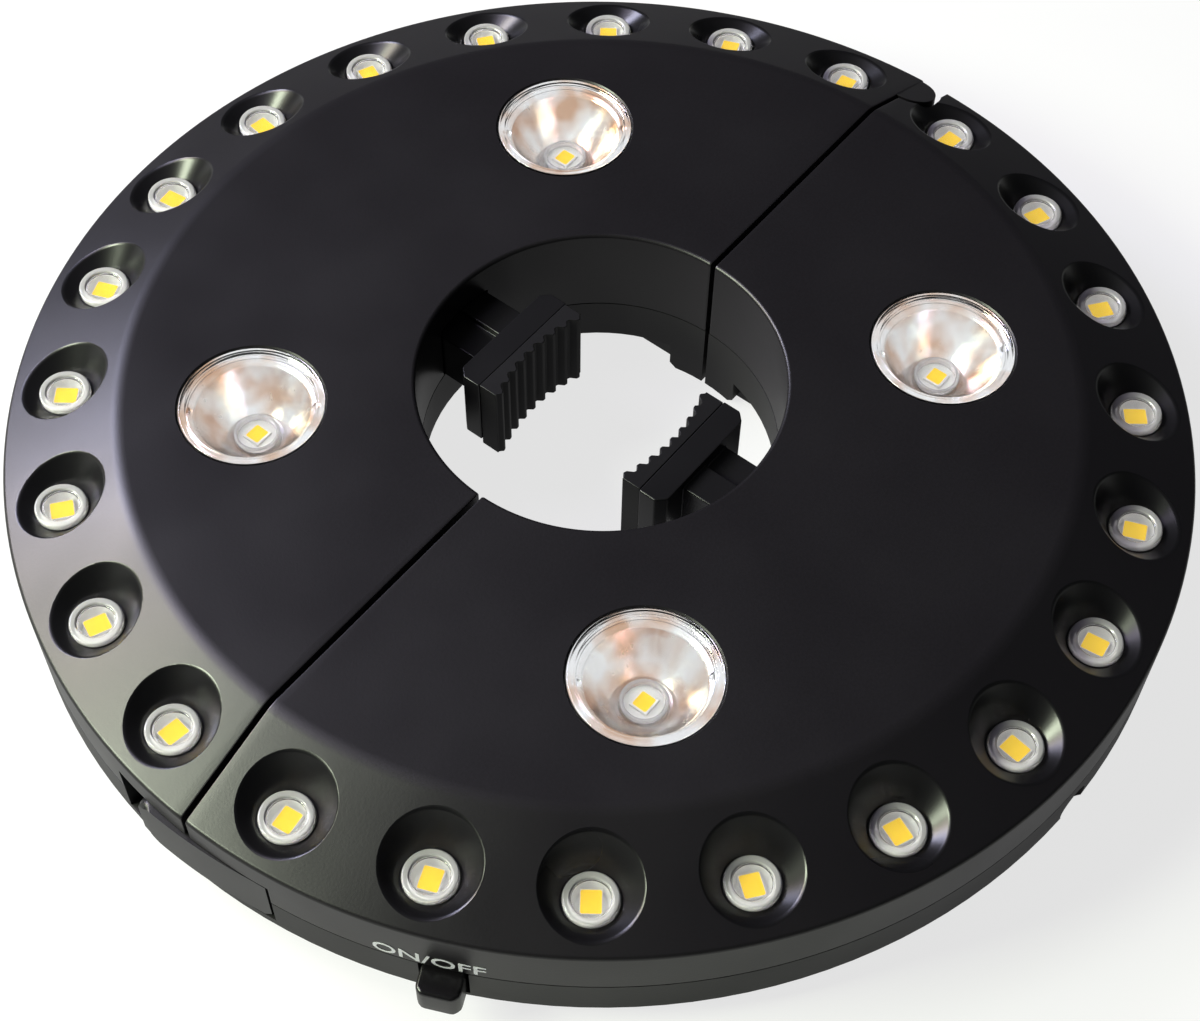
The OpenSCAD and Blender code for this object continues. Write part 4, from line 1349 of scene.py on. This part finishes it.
@dataclass(frozen=True)
class Studio:
    """The camera at the photograph's place, soft lamps and a pale floor."""

    lens_mm: float = 63.574
    sensor_mm: float = 36.0
    azimuth_deg: float = -52.55
    elevation_deg: float = 55.28
    roll_deg: float = 1.17
    distance_mm: float = 337.3
    target_mm: tuple[float, float, float] = (-21.64, -16.84, 32.5)
    lamp_size_m: float = 0.3
    lamp_distance_m: float = 0.95
    fill: float = 0.06
    sweep_top: float = -0.08
    floor_white: float = 0.75
    pool_m: Point = (0.15, 0.28)
    pool_white: float = 0.4
    floor_m: float = 6.0

    def axes(self) -> tuple[Vector, Vector, Vector]:
        """The camera's right, up and backward directions, before its roll."""
        a, e = math.radians(self.azimuth_deg), math.radians(self.elevation_deg)
        back = Vector((math.sin(a) * math.cos(e), -math.cos(a) * math.cos(e), math.sin(e)))
        right = Vector((math.cos(a), math.sin(a), 0))
        return right, back.cross(right), back

    def add_camera(self) -> None:
        """Puts the camera where the photograph was taken from."""
        right, up, back = self.axes()
        roll = math.radians(self.roll_deg)
        turned_right = right * math.cos(roll) + up * math.sin(roll)
        turned_up = up * math.cos(roll) - right * math.sin(roll)
        data = bpy.data.cameras.new("camera")
        data.lens, data.sensor_width = self.lens_mm, self.sensor_mm
        data.clip_start, data.clip_end = 0.01, 10.0
        camera = bpy.data.objects.new("camera", data)
        bpy.context.scene.collection.objects.link(camera)
        place = Vector(self.target_mm) * MM + back * self.distance_mm * MM
        camera.matrix_world = Matrix.Translation(place) @ Matrix(
            (turned_right, turned_up, back)
        ).transposed().to_4x4()
        bpy.context.scene.camera = camera

    def add_lamp(self, name: str, bearing: float, height: float, watts: float, colour: str) -> None:
        """Adds a square soft lamp that looks at the object.

        Args:
            name: the lamp's name.
            bearing: its direction in degrees, turned anticlockwise from the camera's right.
            height: its angle above the floor, in degrees.
            watts: its power.
            colour: its sRGB hex colour.
        """
        side, _, _ = self.axes()
        ahead = Vector((-side.y, side.x, 0))
        turn, rise = math.radians(bearing), math.radians(height)
        level = side * math.cos(turn) + ahead * math.sin(turn)
        data = bpy.data.lights.new(name, "AREA")
        data.size, data.energy, data.color = self.lamp_size_m, watts, linear(colour)[:3]
        lamp = bpy.data.objects.new(name, data)
        bpy.context.scene.collection.objects.link(lamp)
        lamp.location = (level * math.cos(rise) + Vector((0, 0, math.sin(rise)))) * self.lamp_distance_m
        lamp.rotation_mode = "QUATERNION"
        lamp.rotation_quaternion = lamp.location.to_track_quat("Z", "Y")

    def add_world(self) -> None:
        """Fills the room with faint light and shows a white backdrop.

        The camera and clear parts see white all round. Shiny parts see it below the horizon alone,
        as a white table in a dark room would show in them.
        """
        world = bpy.data.worlds.new("room")
        world.use_nodes = True
        tree = world.node_tree
        tree.nodes.clear()
        path = add_node(tree, "ShaderNodeLightPath").outputs
        place = add_node(tree, "ShaderNodeTexCoord").outputs["Generated"]
        split = add_node(tree, "ShaderNodeSeparateXYZ", inputs={"Vector": place})
        low = spread(tree, split.outputs["Z"], 0.0, self.sweep_top, 0.0, 1.0)
        shine = work_out(tree, "MULTIPLY", path["Is Glossy Ray"], low)
        through = work_out(tree, "MAXIMUM", path["Is Camera Ray"], path["Is Transmission Ray"])
        white = add_node(tree, "ShaderNodeBackground", inputs={"Color": WHITE, "Strength": 1.0})
        faint = {"Color": linear("#eef0f4"), "Strength": self.fill}
        fill = add_node(tree, "ShaderNodeBackground", inputs=faint)
        seen = work_out(tree, "MAXIMUM", shine, through)
        room = mixed(tree, seen, fill.outputs["Background"], white.outputs["Background"])
        add_node(tree, "ShaderNodeOutputWorld", inputs={"Surface": room})
        bpy.context.scene.world = world

    def add_floor(self) -> None:
        """Lays a pale floor that keeps a light shadow and can be looked through from below.

        The camera sees it white all over. Shiny and clear parts see a painted pool of white light on it
        close to the object, and dimmer further off, as a lit table in a dark room would show.
        """
        deselect()
        bpy.ops.mesh.primitive_plane_add(size=self.floor_m)
        floor = bpy.context.active_object
        floor.name = "floor"
        material, tree, place = new_material("paper_floor")
        path = add_node(tree, "ShaderNodeLightPath").outputs
        reach = add_node(tree, "ShaderNodeVectorMath", {"operation": "LENGTH"}, {0: place})
        near, far = self.pool_m
        # A painted pool of light round the object, which shiny and clear parts see.
        pool = spread(tree, reach.outputs["Value"], far, near, 0.0, 1.0)
        glow = work_out(tree, "MULTIPLY", pool, self.pool_white)
        strength = work_out(tree, "MAXIMUM", path["Is Camera Ray"], glow)
        white = add_node(tree, "ShaderNodeEmission", inputs={"Color": WHITE, "Strength": strength})
        paper = add_node(tree, "ShaderNodeBsdfDiffuse", inputs={"Color": linear("#f4f4f4")})
        shine = work_out(tree, "MAXIMUM", path["Is Glossy Ray"], path["Is Transmission Ray"])
        seen = work_out(tree, "MAXIMUM", path["Is Camera Ray"], shine)
        share = work_out(tree, "MULTIPLY", seen, self.floor_white)
        top = mixed(tree, share, paper.outputs["BSDF"], white.outputs["Emission"])
        below = add_node(tree, "ShaderNodeNewGeometry").outputs["Backfacing"]
        clear = add_node(tree, "ShaderNodeBsdfTransparent")
        finish_material(tree, mixed(tree, below, top, clear.outputs["BSDF"]))
        dress(floor, material)

    def build(self) -> None:
        """Sets up the whole studio."""
        bpy.context.scene.view_settings.view_transform = "Standard"
        self.add_camera()
        self.add_world()
        self.add_floor()
        self.add_lamp("left_softbox", 195, 36, 11.3, "#f3ffe1")
        self.add_lamp("left_warm", 165, 36, 4.3, "#fff0d7")
        self.add_lamp("left_away", 150, 36, 5.5, "#d9dbff")
        self.add_lamp("left_high", 165, 55, 1.6, "#e8dcff")


# ---------------------------------------------------------------- assembly


def main() -> None:
    """Builds the studio and every piece."""
    logging.basicConfig(level=logging.INFO)
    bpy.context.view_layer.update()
    Studio().build()
    ring = Ring.from_frame()
    finishes = Finishes()
    for name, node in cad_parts.items():
        dress(node, finishes.for_node(name))
    for half in Half:
        shell = FrontShell(half, ring, finishes).build()
        LOG.info("front shell of the %s half: %s", half.label, shell.name)
        SmallLamp(ring, finishes).build(half)
        SpotLamp(ring, finishes).build(half)
        LOG.info("lamps of the %s half", half.label)
        Clamp(half, finishes).build()
        hook, hanger = f"{half.label}_hook", f"{half.label}_hanger"
        refined(hook, f"{half.label}_hanging_hook", finishes.holder, hanger, "holder_plastic", 0.3)
    Lever(ring, finishes).build()
    refined("power_button", "button", finishes.button, "power_switch", "button_plastic", 0.6)
    SwitchLabel(ring, finishes).build()
    LOG.info("clamps, hooks, lever, button and label")


if __name__ == "__main__":
    main()
